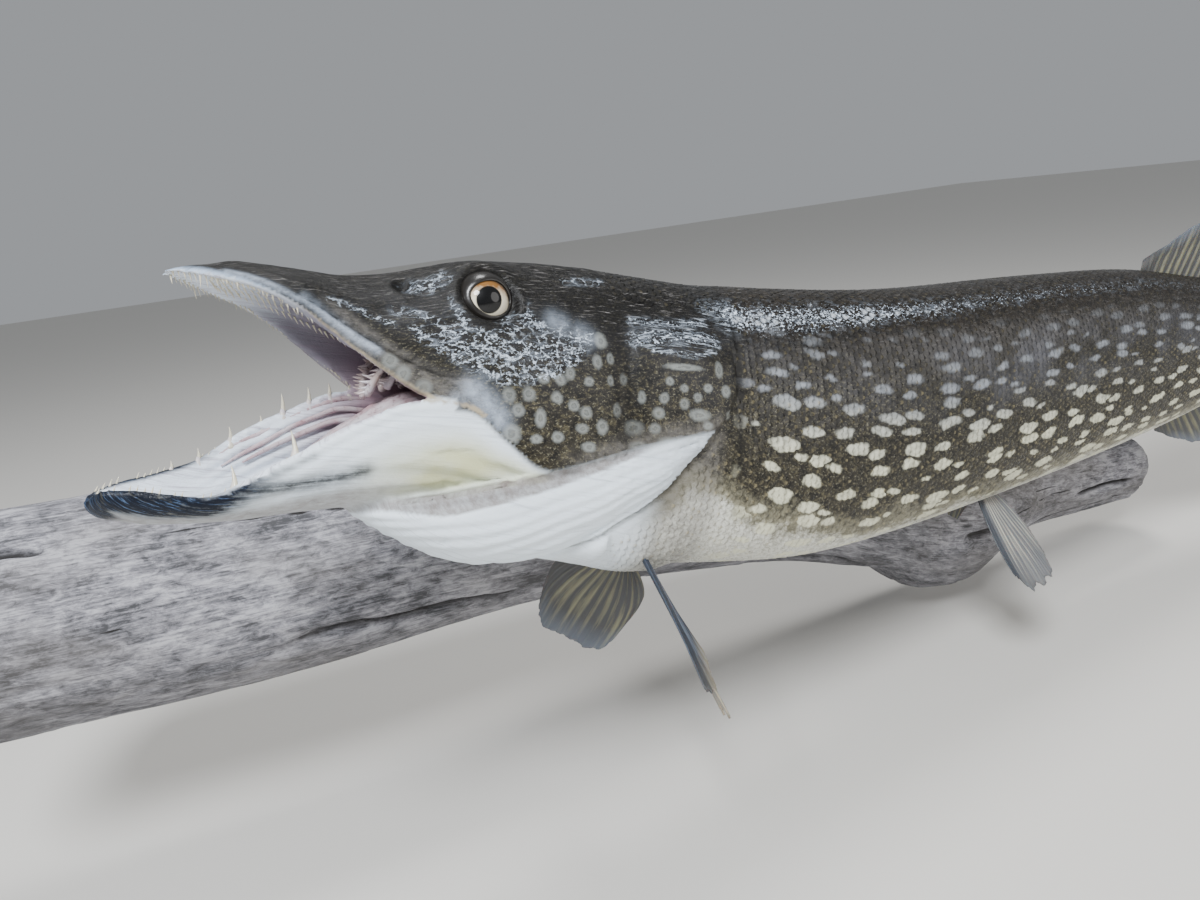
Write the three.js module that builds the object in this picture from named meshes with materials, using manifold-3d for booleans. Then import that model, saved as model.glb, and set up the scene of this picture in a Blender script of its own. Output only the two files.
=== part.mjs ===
// Mounted pike with its mouth open, carried on a driftwood log that hangs on a wall.
// Millimetres. X runs from snout to tail, Y into the wall and Z up; the origin is on the flat
// back of the log. The fish is lofted along one bent spine: s is the distance from the snout,
// b points to the fish's right (the wall side) and c to its back.
import * as THREE from 'three'
import { mergeVertices } from 'three/addons/utils/BufferGeometryUtils.js'
import Module from 'manifold-3d'

// --- driving sizes --------------------------------------------------------------------------
const TOTAL_LENGTH = 960
const SNOUT = new THREE.Vector3(-262.7, -202.2, 155.5)
const HEAD_END = 178 // where the skull meets the shoulder, measured from the snout
const JAW_END = 146
const TRUNK_END = 876 // where the tail fin is rooted
// Body lengths: name, start, end and number of steps.
const TRUNK_PARTS = [['trunk_front', HEAD_END, 400, 10], ['trunk_middle', 400, 560, 6],
  ['trunk_rear', 560, 720, 6], ['tail_stalk', 720, TRUNK_END, 7]]
const GAP = 0.3 // clearance between neighbouring solids
const ARCH_SIDES = 14
const TROUGH_SIDES = 10
const SPINE_STEP = 4
const BODY_ROUNDNESS = 2.4

// Heading of the spine, in degrees, against the distance from the snout.
const YAW = [[0, 10.3], [250, 10.3], [360, 9.3], [480, 8.3], [660, 2.7], [800, -6], [960, -24]]
const DROP = [[0, 15.9], [250, 15.9], [340, 9.6], [480, 3.4], [660, 3.4], [800, -4], [960, -8]]
const ROLL = [[0, 11.9], [250, 11.9], [420, 0], [960, 0]]

// Body section: half width, back and belly, against the distance from the snout.
const BODY_WIDTH = [[178, 38], [235, 42], [300, 45], [430, 47], [560, 45], [650, 40], [730, 31],
  [800, 21], [845, 15], [876, 11]]
const BACK = [[178, 69], [235, 68.5], [270, 71], [330, 73], [430, 72], [560, 68.5], [650, 63.5],
  [730, 50], [800, 35], [845, 30], [876, 31]]
const BELLY = [[178, -74], [200, -79], [215, -80], [235, -77], [270, -78], [330, -80],
  [430, -78], [560, -73], [650, -65], [730, -53], [800, -36], [845, -30], [876, -31]]

// Upper head: crown line, half width and lower edge (lip, then cheek), squareness of the arch.
const CROWN = [[0, 45.5], [6, 47], [15, 49], [35, 50], [60, 50], [80, 53], [100, 58.5],
  [122, 64], [150, 67.5], [178, 69]]
const LIP_WIDTH = [[0, 4], [6, 9], [15, 15], [30, 21], [45, 24.5], [65, 27], [85, 30.5],
  [100, 33.5], [112, 36], [141, 39.5], [178, 42]]
const LIP_EDGE = [[0, 43.5], [6, 43], [15, 41.5], [30, 38], [45, 31], [65, 17], [85, 4],
  [100, -3], [112, -5], [125, -16], [141, -27.5], [178, -31]]
const ARCH_SQUARE = [[0, 2], [45, 2.1], [85, 2.2], [122, 2.6], [178, 2.5]]
const PALATE = [[0, 44.6], [6, 44.8], [15, 44], [30, 42], [45, 40], [65, 36], [85, 33], [112, 28],
  [150, 22], [178, 14]]
const LIP_THICK = [[0, 1.2], [6, 2.5], [15, 4], [45, 5], [85, 5.5], [112, 6], [178, 7]]

// Lower jaw, standing open: half width, the two rims, keel and floor, against the same s.
const JAW_WIDTH = [[-24, 3], [-21, 9], [-14, 15], [0, 20], [20, 23.5], [40, 25.5], [60, 27],
  [80, 30], [100, 33.5], [120, 36.5], [146, 39]]
const RIM_LEFT = [[-24, -40], [-21, -38.2], [-16, -37.2], [-5, -38], [5, -39.6], [13, -40.2],
  [21, -37.5], [29, -33.4], [46, -24], [71, -10], [92, -3], [109, -5], [125, -17], [146, -31]]
const RIM_RIGHT = [[-24, -39], [-21, -37.2], [-14, -34.6], [0, -30.8], [15, -25.6], [34, -13.5],
  [54, -3], [74, 5], [88, 6], [100, -1], [112, -8], [125, -17], [146, -31]]
const KEEL = [[-24, -43.5], [-21, -46.5], [-14, -48.5], [0, -50.5], [23, -50], [49, -47],
  [70, -45], [103, -41], [146, -35.5]]
const JAW_FLOOR = [[-24, -41.5], [-21, -41], [-14, -40.4], [0, -40.6], [13, -41.4], [23, -40.4],
  [49, -38], [70, -36], [103, -33], [146, -32.5]]

// Gill cover, gill membranes and breast, as edges in the head's own lengthways plane.
const COVER_FRONT = 178.3
const COVER_TOP = [[178, 47], [226, 46], [238, 38], [244, 27], [247, 16]]
const COVER_LOW = [[178, -25], [205, -19], [230, -11], [240, -2], [244, 6], [247, 12]]
const COVER_WIDTH = [[178, 43.5], [215, 46], [240, 46], [247, 45]]
const COVER_THICKNESS = 4
const BIB_WIDTH = [[70, 3], [80, 15], [105, 29], [130, 35], [160, 39.5], [190, 43.5], [234, 45]]
const BIB_TOP = [[70, -45.5], [105, -40], [141, -33], [170, -26], [192, -20], [234, -11.5]]
const BIB_LOW = [[70, -47], [85, -56], [105, -66], [129, -71.5], [155, -69.5], [181, -59],
  [205, -47], [222, -28], [234, -13]]
const BREAST_WIDTH = [[128, 5], [150, 15], [178, 29]]
const BREAST_LOW = [[128, -61], [150, -68.5], [178, -74]]
const BREAST_TOP = -48

// Tongue: half width, upper and lower face.
const TONGUE_WIDTH = [[40, 3], [50, 7], [70, 10], [100, 14], [140, 17]]
const TONGUE_TOP = [[40, -33], [50, -24.5], [60, -16], [70, -9], [80, -2], [100, 5], [140, 6]]
const TONGUE_LOW = [[40, -36], [50, -35], [70, -27], [100, -16], [140, -12]]

const EYE = { along: 121.5, out: 20.5, up: 43, radius: 12 }

// Rooted pieces along the jaws: [s, length] of each large lower tooth, on both sides.
const CANINES = [[4, 4], [14, 6], [26, 8], [38, 6], [47, 10], [58, 8], [67, 9], [76, 6]]
const UPPER_TEETH = { from: 12, to: 60, count: 7, length: 3.2 }

// Driftwood: centre line height and depth, radii up/down and front/back, against x.
const LOG_ENDS = [-470, 472]
const LOG_HEIGHT = [[-470, 33], [-350, 27], [-150, 18], [-20, 8], [80, -8], [160, -38],
  [230, -58], [300, -66], [380, -74], [472, -82]]
const LOG_DEPTH = [[-470, -46], [-350, -46], [0, -44], [160, -44], [300, -42], [472, -36]]
const LOG_RADIUS = [[-470, 50], [-440, 58], [-350, 62], [-200, 62], [-100, 60], [0, 55], [120, 55],
  [200, 56], [290, 47], [330, 37], [400, 35], [472, 32]]
const STUB = { along: 226, spread: 46, reach: 20 }

// --- helpers --------------------------------------------------------------------------------
const wasm = await Module()
wasm.setup()
const radians = THREE.MathUtils.degToRad

// Smooth curve through knots [[x, y], ...] that never overshoots them.
function curve(x, knots) {
  const last = knots.length - 1
  const at = THREE.MathUtils.clamp(x, knots[0][0], knots[last][0])
  let k = 0
  while (k < last - 1 && at > knots[k + 1][0]) k++
  const slope = (i) => (knots[i + 1][1] - knots[i][1]) / (knots[i + 1][0] - knots[i][0])
  const tangent = (i) => {
    if (i === 0) return slope(0)
    if (i === last) return slope(last - 1)
    const before = slope(i - 1)
    const after = slope(i)
    if (before * after <= 0) return 0
    const back = knots[i][0] - knots[i - 1][0]
    const ahead = knots[i + 1][0] - knots[i][0]
    const mean = (before * ahead + after * back) / (back + ahead)
    return Math.sign(mean) * Math.min(Math.abs(mean), 3 * Math.abs(before), 3 * Math.abs(after))
  }
  const span = knots[k + 1][0] - knots[k][0]
  const t = (at - knots[k][0]) / span
  const rise = knots[k][1] * (1 + 2 * t) * (1 - t) ** 2 + knots[k + 1][1] * t * t * (3 - 2 * t)
  return rise + span * (tangent(k) * t * (1 - t) ** 2 + tangent(k + 1) * t * t * (t - 1))
}

// Frames along the spine: point, tailward direction, right direction and up direction.
function makeSpine() {
  const frames = []
  const point = SNOUT.clone()
  for (let s = 0; s <= TOTAL_LENGTH + SPINE_STEP; s += SPINE_STEP) {
    const yaw = radians(curve(s, YAW))
    const drop = radians(curve(s, DROP))
    const roll = radians(curve(s, ROLL))
    const along = new THREE.Vector3(Math.cos(yaw) * Math.cos(drop),
      Math.sin(yaw) * Math.cos(drop), -Math.sin(drop))
    const level = new THREE.Vector3(-Math.sin(yaw), Math.cos(yaw), 0)
    const upright = along.clone().cross(level)
    const up = upright.clone().multiplyScalar(Math.cos(roll)).addScaledVector(level, Math.sin(roll))
    const right = level.clone().multiplyScalar(Math.cos(roll))
      .addScaledVector(upright, -Math.sin(roll))
    frames.push({ point: point.clone(), along, right, up })
    point.addScaledVector(along, SPINE_STEP)
  }
  return frames
}
const spine = makeSpine()

// Body point: s along the spine, b to the right and c up. Ahead of the snout it runs straight on.
function place(s, b, c) {
  const at = THREE.MathUtils.clamp(s / SPINE_STEP, 0, spine.length - 1.001)
  const k = Math.floor(at)
  const t = at - k
  const mix = (key) => spine[k][key].clone().lerp(spine[k + 1][key], t)
  const point = mix('point').addScaledVector(mix('right'), b).addScaledVector(mix('up'), c)
  return s < 0 ? point.addScaledVector(spine[0].along, s) : point
}

const stations = (from, to, count) =>
  Array.from({ length: count + 1 }, (_, k) => from + ((to - from) * k) / count)

// Closed body through rings with the same number of points.
function loft(rings) {
  const size = rings[0].length
  const positions = []
  const faces = []
  rings.forEach((ring) => ring.forEach((p) => positions.push(p.x, p.y, p.z)))
  for (let k = 0; k < rings.length - 1; k++) {
    for (let j = 0; j < size; j++) {
      const next = (j + 1) % size
      const [p, q, r, t] = [k * size + j, k * size + next, (k + 1) * size + next, (k + 1) * size + j]
      faces.push(p, q, r, p, r, t)
    }
  }
  // Each end is closed by a strip between the ring's two halves.
  const cap = (k, flip) => {
    const face = (x, y, z) => faces.push(...[x, flip ? z : y, flip ? y : z].map((j) => k * size + j))
    for (let j = 0; j < size / 2 - 1; j++) {
      face(j, j + 1, size - 1 - j)
      if (j + 1 < size - 2 - j) face(j + 1, size - 2 - j, size - 1 - j)
    }
  }
  cap(0, true)
  cap(rings.length - 1, false)
  const geometry = new THREE.BufferGeometry()
  geometry.setAttribute('position', new THREE.Float32BufferAttribute(positions, 3))
  geometry.setIndex(faces)
  return faceOut(geometry)
}

// Turn a closed geometry's faces outwards.
function faceOut(geometry) {
  const position = geometry.getAttribute('position')
  const index = Array.from(geometry.getIndex().array)
  const corner = (k) => new THREE.Vector3().fromBufferAttribute(position, index[k])
  let volume = 0
  for (let k = 0; k < index.length; k += 3) {
    volume += corner(k).dot(corner(k + 1).cross(corner(k + 2)))
  }
  if (volume < 0) geometry.setIndex(index.reverse())
  return geometry
}

function toManifold(geometry) {
  const plain = geometry.clone()
  plain.deleteAttribute('normal')
  plain.deleteAttribute('uv')
  const welded = mergeVertices(plain, 1e-4)
  return new wasm.Manifold(new wasm.Mesh({
    numProp: 3,
    vertProperties: new Float32Array(welded.getAttribute('position').array),
    triVerts: new Uint32Array(welded.getIndex().array),
  }))
}

function toGeometry(solid) {
  const { vertProperties, triVerts } = solid.getMesh()
  const geometry = new THREE.BufferGeometry()
  geometry.setAttribute('position', new THREE.Float32BufferAttribute(vertProperties, 3))
  geometry.setIndex(Array.from(triVerts))
  return geometry
}

// Largest single body of a cut piece, so that no loose sliver stays with it.
function mainBody(solid) {
  return solid.decompose().reduce((best, part) => (part.volume() > best.volume() ? part : best))
}

const cutBy = (solid, tools) => mainBody(tools.reduce((rest, tool) => rest.subtract(tool), solid))

// Superellipse half power: keeps the sign, squares the curve.
const squared = (value, power) => Math.sign(value) * Math.abs(value) ** (2 / power)

// --- flesh ----------------------------------------------------------------------------------
// Full body section at s, grown outwards by grow.
function bodyRing(s, grow = 0, count = 22) {
  return stations(0, 2 * Math.PI, count).slice(0, count).map((angle) => {
    const across = squared(Math.cos(angle), BODY_ROUNDNESS)
    const height = squared(Math.sin(angle), BODY_ROUNDNESS)
    const reach = height > 0 ? curve(s, BACK) + grow : -curve(s, BELLY) + grow
    return place(s, (curve(s, BODY_WIDTH) + grow) * across, reach * height)
  })
}

// Stations of the four trunk lengths, a thin cut apart.
const trunkStations = TRUNK_PARTS.map(([, from, to, steps]) =>
  stations(from + (from === HEAD_END ? 0 : GAP / 2), to - GAP / 2, steps))

// Arch of the upper head: over the crown from lip to lip, and back under the palate.
function archRing(s, grow = 0) {
  const width = curve(s, LIP_WIDTH) + grow
  const crown = curve(s, CROWN) + grow
  const edge = curve(s, LIP_EDGE) - grow
  const thick = curve(s, LIP_THICK) + 2 * grow
  const roof = Math.max(curve(s, PALATE) - grow, edge + 0.4)
  const power = curve(s, ARCH_SQUARE)
  const quarter = stations(-Math.PI / 2, Math.PI / 2, ARCH_SIDES)
  const outer = quarter.map((angle) => place(s, width * squared(Math.sin(angle), power),
    edge + (crown - edge) * squared(Math.cos(angle), power)))
  const inner = stations(Math.PI / 2, -Math.PI / 2, ARCH_SIDES).map((angle) =>
    place(s, (width - thick) * squared(Math.sin(angle), 2.6),
      edge + (roof - edge) * squared(Math.cos(angle), 2.6)))
  return outer.concat(inner)
}
const ARCH_STATIONS = [0, 3, 7, 13, 21, 30, 40, 52, 66, 78, 90, 101, 112, 125, 141, 160]
const archLoft = (grow = 0) =>
  loft([...ARCH_STATIONS, HEAD_END - GAP + grow].map((s) => archRing(s, grow)))

// Trough of the lower jaw: down the left side, under the keel, up the right and back inside.
function jawRing(s, grow = 0) {
  const width = curve(s, JAW_WIDTH) + grow
  const [left, right] = [curve(s, RIM_LEFT) + grow, curve(s, RIM_RIGHT) + grow]
  const keel = Math.min(curve(s, KEEL), Math.min(left, right) - 1.5) - grow
  const floor = curve(s, JAW_FLOOR) + grow
  const wall = Math.min(5, width * 0.3) + 2 * grow
  const outer = stations(-1, 1, TROUGH_SIDES).map((t) => {
    const rim = t < 0 ? left : right
    return place(s, width * squared(Math.sin((t * Math.PI) / 2), 2.4),
      rim + (keel - rim) * squared(Math.cos((t * Math.PI) / 2), 2.4))
  })
  const inner = stations(1, -1, TROUGH_SIDES).map((t) => {
    const rim = (t < 0 ? left : right) - 0.6
    const sunk = Math.min(floor, rim - 0.3)
    return place(s, (width - wall) * squared(Math.sin((t * Math.PI) / 2), 3),
      rim + (sunk - rim) * squared(Math.cos((t * Math.PI) / 2), 3))
  })
  return outer.concat(inner)
}
const JAW_STATIONS = [-24, -22.5, -20, -16, -10, -2, 8, 20, 32, 44, 56, 68, 80, 92, 104, 117, 131,
  JAW_END]
const jawLoft = (grow = 0) => loft([...JAW_STATIONS, ...(grow ? [JAW_END + grow] : [])]
  .map((s) => jawRing(s, grow)))

// Curved spike with a square-ish root, from a point along a direction.
function tooth(root, direction, length, radius) {
  const spike = new THREE.ConeGeometry(radius, length, 4, 1)
  spike.translate(0, length / 2 - radius * 0.8, 0)
  spike.applyQuaternion(new THREE.Quaternion().setFromUnitVectors(
    new THREE.Vector3(0, 1, 0), direction.clone().normalize()))
  return spike.translate(root.x, root.y, root.z)
}

function lowerTeeth() {
  const teeth = []
  for (const side of [-1, 1]) {
    for (const [s, length] of CANINES) {
      const rim = curve(s, side < 0 ? RIM_LEFT : RIM_RIGHT)
      const inset = side * (curve(s, JAW_WIDTH) - 3)
      const root = place(s, inset, rim - 1.5)
      const tip = place(s + 1.5, inset - side * 1.5, rim + 6)
      teeth.push(toManifold(tooth(root, tip.sub(root), length + 1.5, 1.5)))
    }
  }
  return teeth
}

function upperTeeth() {
  const teeth = []
  for (const side of [-1, 1]) {
    for (const s of stations(UPPER_TEETH.from, UPPER_TEETH.to, UPPER_TEETH.count - 1)) {
      const inset = side * (curve(s, LIP_WIDTH) - 2.4)
      const edge = curve(s, LIP_EDGE)
      const root = place(s, inset, edge + 1)
      const tip = place(s + 1.5, inset - side, edge - 4)
      teeth.push(toManifold(tooth(root, tip.sub(root), UPPER_TEETH.length + 1, 1)))
    }
  }
  return teeth
}

function eyeBall(side, grow = 0) {
  const ball = new THREE.IcosahedronGeometry(EYE.radius + grow, 2)
  const centre = place(EYE.along, side * EYE.out, EYE.up)
  return ball.translate(centre.x, centre.y, centre.z)
}

// Bony shell over the gills: outside from low to high, inside back down.
function coverLoft(side, grow = 0) {
  return loft([COVER_FRONT - grow, 188, 200, 212, 222, 230, 236, 240.5, 244, 246.6 + grow].map((s) => {
    const [low, high] = [curve(s, COVER_LOW) - grow, curve(s, COVER_TOP) + grow]
    const width = curve(s, COVER_WIDTH) + grow
    const across = (c) => width * (1 - 0.16 * Math.max(0, (c - 12) / 40) ** 2
      - 0.05 * Math.max(0, (-c - 5) / 30) ** 2)
    const heights = stations(low, high, 7)
    const outer = heights.map((c) => place(s, side * across(c), c))
    const inner = heights.reverse().map((c) => place(s, side * (across(c) - COVER_THICKNESS - 2 * grow), c))
    return outer.concat(inner)
  }))
}

// One half of the gill membranes and throat skin that hang under the head.
function bibLoft(side) {
  return loft([70, 77, 88, 103, 121, 141, 160, 178, 194, 209, 222, 234].map((s) => {
    const [top, low, width] = [curve(s, BIB_TOP), curve(s, BIB_LOW), curve(s, BIB_WIDTH)]
    const waist = top - Math.min(10, (top - low) * 0.3)
    const flank = stations(0, Math.PI / 2, 5).map((angle) =>
      place(s, side * Math.max(width * squared(Math.cos(angle), 2.2), GAP / 2),
        waist + (low - waist) * squared(Math.sin(angle), 2.2)))
    return [place(s, (side * GAP) / 2, top), place(s, side * width * 0.97, top), ...flank]
  }))
}

function breastLoft(grow = 0) {
  return loft([128 - grow, 136, 144, 152, 160, 169, HEAD_END - GAP + grow].map((s) => {
    const [width, low] = [curve(s, BREAST_WIDTH) + grow, curve(s, BREAST_LOW) - grow]
    const top = BREAST_TOP + grow
    return stations(0, 2 * Math.PI, 16).slice(0, 16).map((angle) => {
      const [middle, half] = [(top + low) / 2, (top - low) / 2]
      return place(s, width * squared(Math.cos(angle), 2.3),
        middle + half * squared(Math.sin(angle), 2.3))
    })
  }))
}

function tongueLoft() {
  return loft([40, 44, 50, 58, 68, 80, 94, 110, 126, 140].map((s) =>
    stations(0, 2 * Math.PI, 12).slice(0, 12).map((angle) => {
      const [high, deep] = [curve(s, TONGUE_TOP), curve(s, TONGUE_LOW)]
      return place(s, curve(s, TONGUE_WIDTH) * squared(Math.cos(angle), 2.4),
        (high + deep) / 2 + ((high - deep) / 2) * squared(Math.sin(angle), 2.4))
    })))
}

// --- fins -----------------------------------------------------------------------------------
// Thin fan between a root line and the ends of its rays; root(t) and tip(t) are body points.
function finPlate(root, tip, normal, { rays, rows = 4, base = 3.2, rim = 0.9 }) {
  const rings = stations(0, 1, rays).map((t) => {
    const [start, end] = [root(t), tip(t)]
    const face = (sign) => stations(0, 1, rows).map((v) => start.clone().lerp(end, v)
      .addScaledVector(normal, (sign * THREE.MathUtils.lerp(base, rim, v ** 0.7)) / 2))
    return face(1).concat(face(-1).reverse())
  })
  return loft(rings)
}

// Median fin on the back (up = 1) or belly (up = -1): root span, ray lengths and ray angles.
function medianFin({ from, to, up, lengths, angles, edge }) {
  const root = (t) => {
    const s = from + (to - from) * t
    return place(s, 0, curve(s, edge) - up * 6)
  }
  const tip = (t) => {
    const s = from + (to - from) * t
    const [reach, angle] = [curve(t, lengths), radians(curve(t, angles))]
    return place(s + reach * Math.cos(angle), 0, curve(s, edge) + up * reach * Math.sin(angle))
  }
  const middle = spine[Math.round((from + to) / 2 / SPINE_STEP)]
  return finPlate(root, tip, middle.right, { rays: 11 })
}

// Paired fin: root centre, main ray direction and the direction in which the fan spreads.
function pairedFin({ side, root, ray, spread, rootWidth, length, fan, thicker = 0 }) {
  const frame = spine[Math.round(root[0] / SPINE_STEP)]
  const turn = ([s, b, c]) => frame.along.clone().multiplyScalar(s)
    .addScaledVector(frame.right, side * b).addScaledVector(frame.up, c).normalize()
  const [main, across] = [turn(ray), turn(spread)]
  across.addScaledVector(main, -across.dot(main)).normalize()
  const centre = place(root[0], side * root[1], root[2])
  const start = (t) => centre.clone().addScaledVector(across, (t - 0.4) * rootWidth)
    .addScaledVector(main, -5)
  const end = (t) => {
    const angle = radians(THREE.MathUtils.lerp(fan[0], fan[1], t))
    const reach = length * curve(t, PAIRED_REACH)
    return start(t).addScaledVector(main, reach * Math.cos(angle))
      .addScaledVector(across, reach * Math.sin(angle))
  }
  return finPlate(start, end, main.clone().cross(across).normalize(),
    { rays: 8, base: 3.2 + thicker, rim: 0.9 + thicker })
}

const PAIRED_REACH = [[0, 0.93], [0.3, 1], [0.7, 0.9], [1, 0.62]]
const PECTORAL = { root: [212, 15.5, -75], spread: [0.66, -0.63, -0.4], rootWidth: 17,
  fan: [-10, 34] }
const PELVIC = { root: [483, 16, -72], ray: [-2, 45, -60], rootWidth: 14, length: 78, fan: [-8, 30] }
const PAIRED_FINS = {
  pectoral_fin_left: { ...PECTORAL, side: -1, ray: [8, 50, -65], length: 92 },
  pectoral_fin_right: { ...PECTORAL, side: 1, ray: [-10, 68, -46], length: 80 },
  pelvic_fin_left: { ...PELVIC, side: -1, spread: [0.95, 0.1, -0.25] },
  pelvic_fin_right: { ...PELVIC, side: 1, spread: [0.8, -0.45, -0.35] },
}
const DORSAL = { from: 664, to: 792, up: 1, edge: BACK, lengths: [[0, 9], [0.25, 40], [0.5, 73],
  [0.75, 92], [1, 84]], angles: [[0, 60], [0.5, 47], [1, 34]] }
const ANAL = { from: 692, to: 792, up: -1, edge: BELLY, lengths: [[0, 9], [0.25, 38], [0.5, 66],
  [0.75, 84], [1, 74]], angles: [[0, 62], [0.5, 48], [1, 34]] }
const TAIL = { from: 866, middle: 915, half: 27, spread: 44, lengths: [[0, 104], [0.25, 84],
  [0.5, 60], [0.75, 84], [1, 104]] }

function tailFin() {
  const root = (t) => place(TAIL.from, 0, THREE.MathUtils.lerp(TAIL.half, -TAIL.half, t))
  const tip = (t) => {
    const angle = radians(THREE.MathUtils.lerp(TAIL.spread, -TAIL.spread, t))
    const reach = curve(t, TAIL.lengths)
    return place(TAIL.from + 8 + reach * Math.cos(angle) * 0.98, 0,
      THREE.MathUtils.lerp(TAIL.half, -TAIL.half, t) + reach * Math.sin(angle))
  }
  return finPlate(root, tip, spine[Math.round(TAIL.middle / SPINE_STEP)].right,
    { rays: 14, base: 5 })
}

// --- driftwood ------------------------------------------------------------------------------
function driftwood() {
  const count = 20
  const [start, end] = LOG_ENDS
  const along = [0, 0.006, 0.02, 0.045, 0.08, ...stations(0.12, 0.93, 18), 0.965, 0.985, 0.996, 1]
  return loft(along.map((t) => {
    const x = start + (end - start) * t
    const rounded = Math.min(1, Math.sqrt(1 - Math.max(0, 1 - t / 0.06) ** 2) + 0.12,
      Math.sqrt(1 - Math.max(0, 1 - (1 - t) / 0.045) ** 2) + 0.12)
    const radius = curve(x, LOG_RADIUS) * rounded
    return stations(0, 2 * Math.PI, count).slice(0, count).map((angle) => {
      const down = Math.max(0, -Math.sin(angle)) ** 3
      const stub = STUB.reach * down * Math.exp(-(((x - STUB.along) / STUB.spread) ** 4))
      const lumps = 1 + 0.035 * Math.sin(3 * angle + x / 70) + 0.025 * Math.sin(2 * angle - x / 41)
      const reach = radius * lumps + stub
      const y = curve(x, LOG_DEPTH) + reach * Math.cos(angle)
      return new THREE.Vector3(x, Math.min(y, 0), curve(x, LOG_HEIGHT) + reach * Math.sin(angle))
    })
  }))
}

// --- assembly -------------------------------------------------------------------------------
const SKIN = { colour: 0x4a4636, roughness: 0.35 }
const finishes = {
  head: SKIN,
  jaw: { colour: 0xcfcfbe, roughness: 0.4 },
  tongue: { colour: 0xb9928c, roughness: 0.5 },
  membrane: { colour: 0xdfe2e6, roughness: 0.45 },
  trunk: { colour: 0x6d6a4c, roughness: 0.35 },
  fin: { colour: 0x5a5a4e, roughness: 0.5 },
  eye: { colour: 0xd9b06a, roughness: 0.08 },
  wood: { colour: 0x8b8a87, roughness: 0.9 },
}

const pike = new THREE.Group()
function add(name, shape, { colour, roughness }) {
  const geometry = shape.isBufferGeometry ? shape : toGeometry(shape)
  const material = new THREE.MeshStandardMaterial({ color: colour, roughness, metalness: 0 })
  const mesh = new THREE.Mesh(geometry, material)
  mesh.name = name
  pike.add(mesh)
}

const arch = toManifold(archLoft())
const archRoom = toManifold(archLoft(GAP))
const jaw = cutBy(lowerTeeth().reduce((all, one) => all.add(one), toManifold(jawLoft())), [archRoom])
const jawRoom = toManifold(jawLoft(GAP))
const breastRoom = toManifold(breastLoft(GAP))
const bodyRoom = toManifold(loft([HEAD_END - GAP, ...trunkStations.flat().slice(1), TRUNK_END + GAP]
  .map((s) => bodyRing(s, GAP))))

const sockets = [-1, 1].map((side) => toManifold(eyeBall(side, GAP)))
add('head_upper', upperTeeth().reduce((all, one) => all.add(one), cutBy(arch, sockets)),
  finishes.head)
add('jaw_lower', jaw, finishes.jaw)
add('tongue', cutBy(toManifold(tongueLoft()), [jawRoom, archRoom]), finishes.tongue)
add('breast', cutBy(toManifold(breastLoft()), [archRoom, jawRoom]), finishes.membrane)
for (const [word, side] of [['left', -1], ['right', 1]]) {
  add(`eye_${word}`, eyeBall(side), finishes.eye)
  add(`gill_cover_${word}`, cutBy(toManifold(coverLoft(side)), [bodyRoom]), finishes.head)
  const coverRoom = toManifold(coverLoft(side, 2 * GAP))
  add(`gill_membrane_${word}`, cutBy(toManifold(bibLoft(side)),
    [jawRoom, archRoom, breastRoom, bodyRoom, coverRoom]), finishes.membrane)
}
for (const [name, sizes] of Object.entries(PAIRED_FINS)) {
  add(name, cutBy(toManifold(pairedFin(sizes)), [bodyRoom]), finishes.fin)
}
TRUNK_PARTS.forEach(([name], k) =>
  add(name, loft(trunkStations[k].map((s) => bodyRing(s))), finishes.trunk))
add('dorsal_fin', cutBy(toManifold(medianFin(DORSAL)), [bodyRoom]), finishes.fin)
add('anal_fin', cutBy(toManifold(medianFin(ANAL)), [bodyRoom]), finishes.fin)
add('tail_fin', cutBy(toManifold(tailFin()), [bodyRoom]), finishes.fin)
const restingFin = toManifold(pairedFin({ ...PAIRED_FINS.pelvic_fin_right, thicker: 2 * GAP,
  rootWidth: PELVIC.rootWidth + 1, length: PELVIC.length + 1, fan: [-9, 31] }))
add('driftwood', cutBy(toManifold(driftwood()), [bodyRoom, restingFin]), finishes.wood)

export default pike
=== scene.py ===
import math
from functools import partial

import bpy
import numpy as np
from bpy.props import FloatProperty, FloatVectorProperty, IntProperty, PointerProperty
from mathutils import Matrix, Vector


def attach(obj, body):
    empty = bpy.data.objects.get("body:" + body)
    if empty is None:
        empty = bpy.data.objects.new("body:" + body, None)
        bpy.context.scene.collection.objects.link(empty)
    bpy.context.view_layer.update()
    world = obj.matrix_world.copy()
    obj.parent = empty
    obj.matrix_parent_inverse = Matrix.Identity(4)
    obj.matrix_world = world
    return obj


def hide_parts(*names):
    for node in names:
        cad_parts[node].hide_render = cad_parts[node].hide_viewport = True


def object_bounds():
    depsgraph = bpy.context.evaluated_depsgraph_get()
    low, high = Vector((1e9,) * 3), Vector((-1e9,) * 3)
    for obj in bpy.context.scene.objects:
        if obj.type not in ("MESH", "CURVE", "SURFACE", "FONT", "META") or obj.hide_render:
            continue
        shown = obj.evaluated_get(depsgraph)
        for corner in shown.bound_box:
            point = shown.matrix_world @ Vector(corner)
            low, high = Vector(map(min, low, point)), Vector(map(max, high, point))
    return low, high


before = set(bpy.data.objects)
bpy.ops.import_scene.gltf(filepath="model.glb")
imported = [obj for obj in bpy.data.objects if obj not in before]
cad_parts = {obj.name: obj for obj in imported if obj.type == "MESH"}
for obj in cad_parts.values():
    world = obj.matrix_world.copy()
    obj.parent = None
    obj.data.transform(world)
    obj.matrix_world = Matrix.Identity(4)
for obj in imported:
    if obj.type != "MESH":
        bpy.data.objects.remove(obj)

bl_info = {
    "name": "Mounted pike builder",
    "version": (1, 0, 0),
    "blender": (4, 5, 0),
    "location": "View3D > Sidebar > Pike",
    "description": "Builds the visible pieces of a mounted pike on driftwood around its packed frame",
    "category": "Object",
}

CAD_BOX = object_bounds()
MM = 0.001

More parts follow.
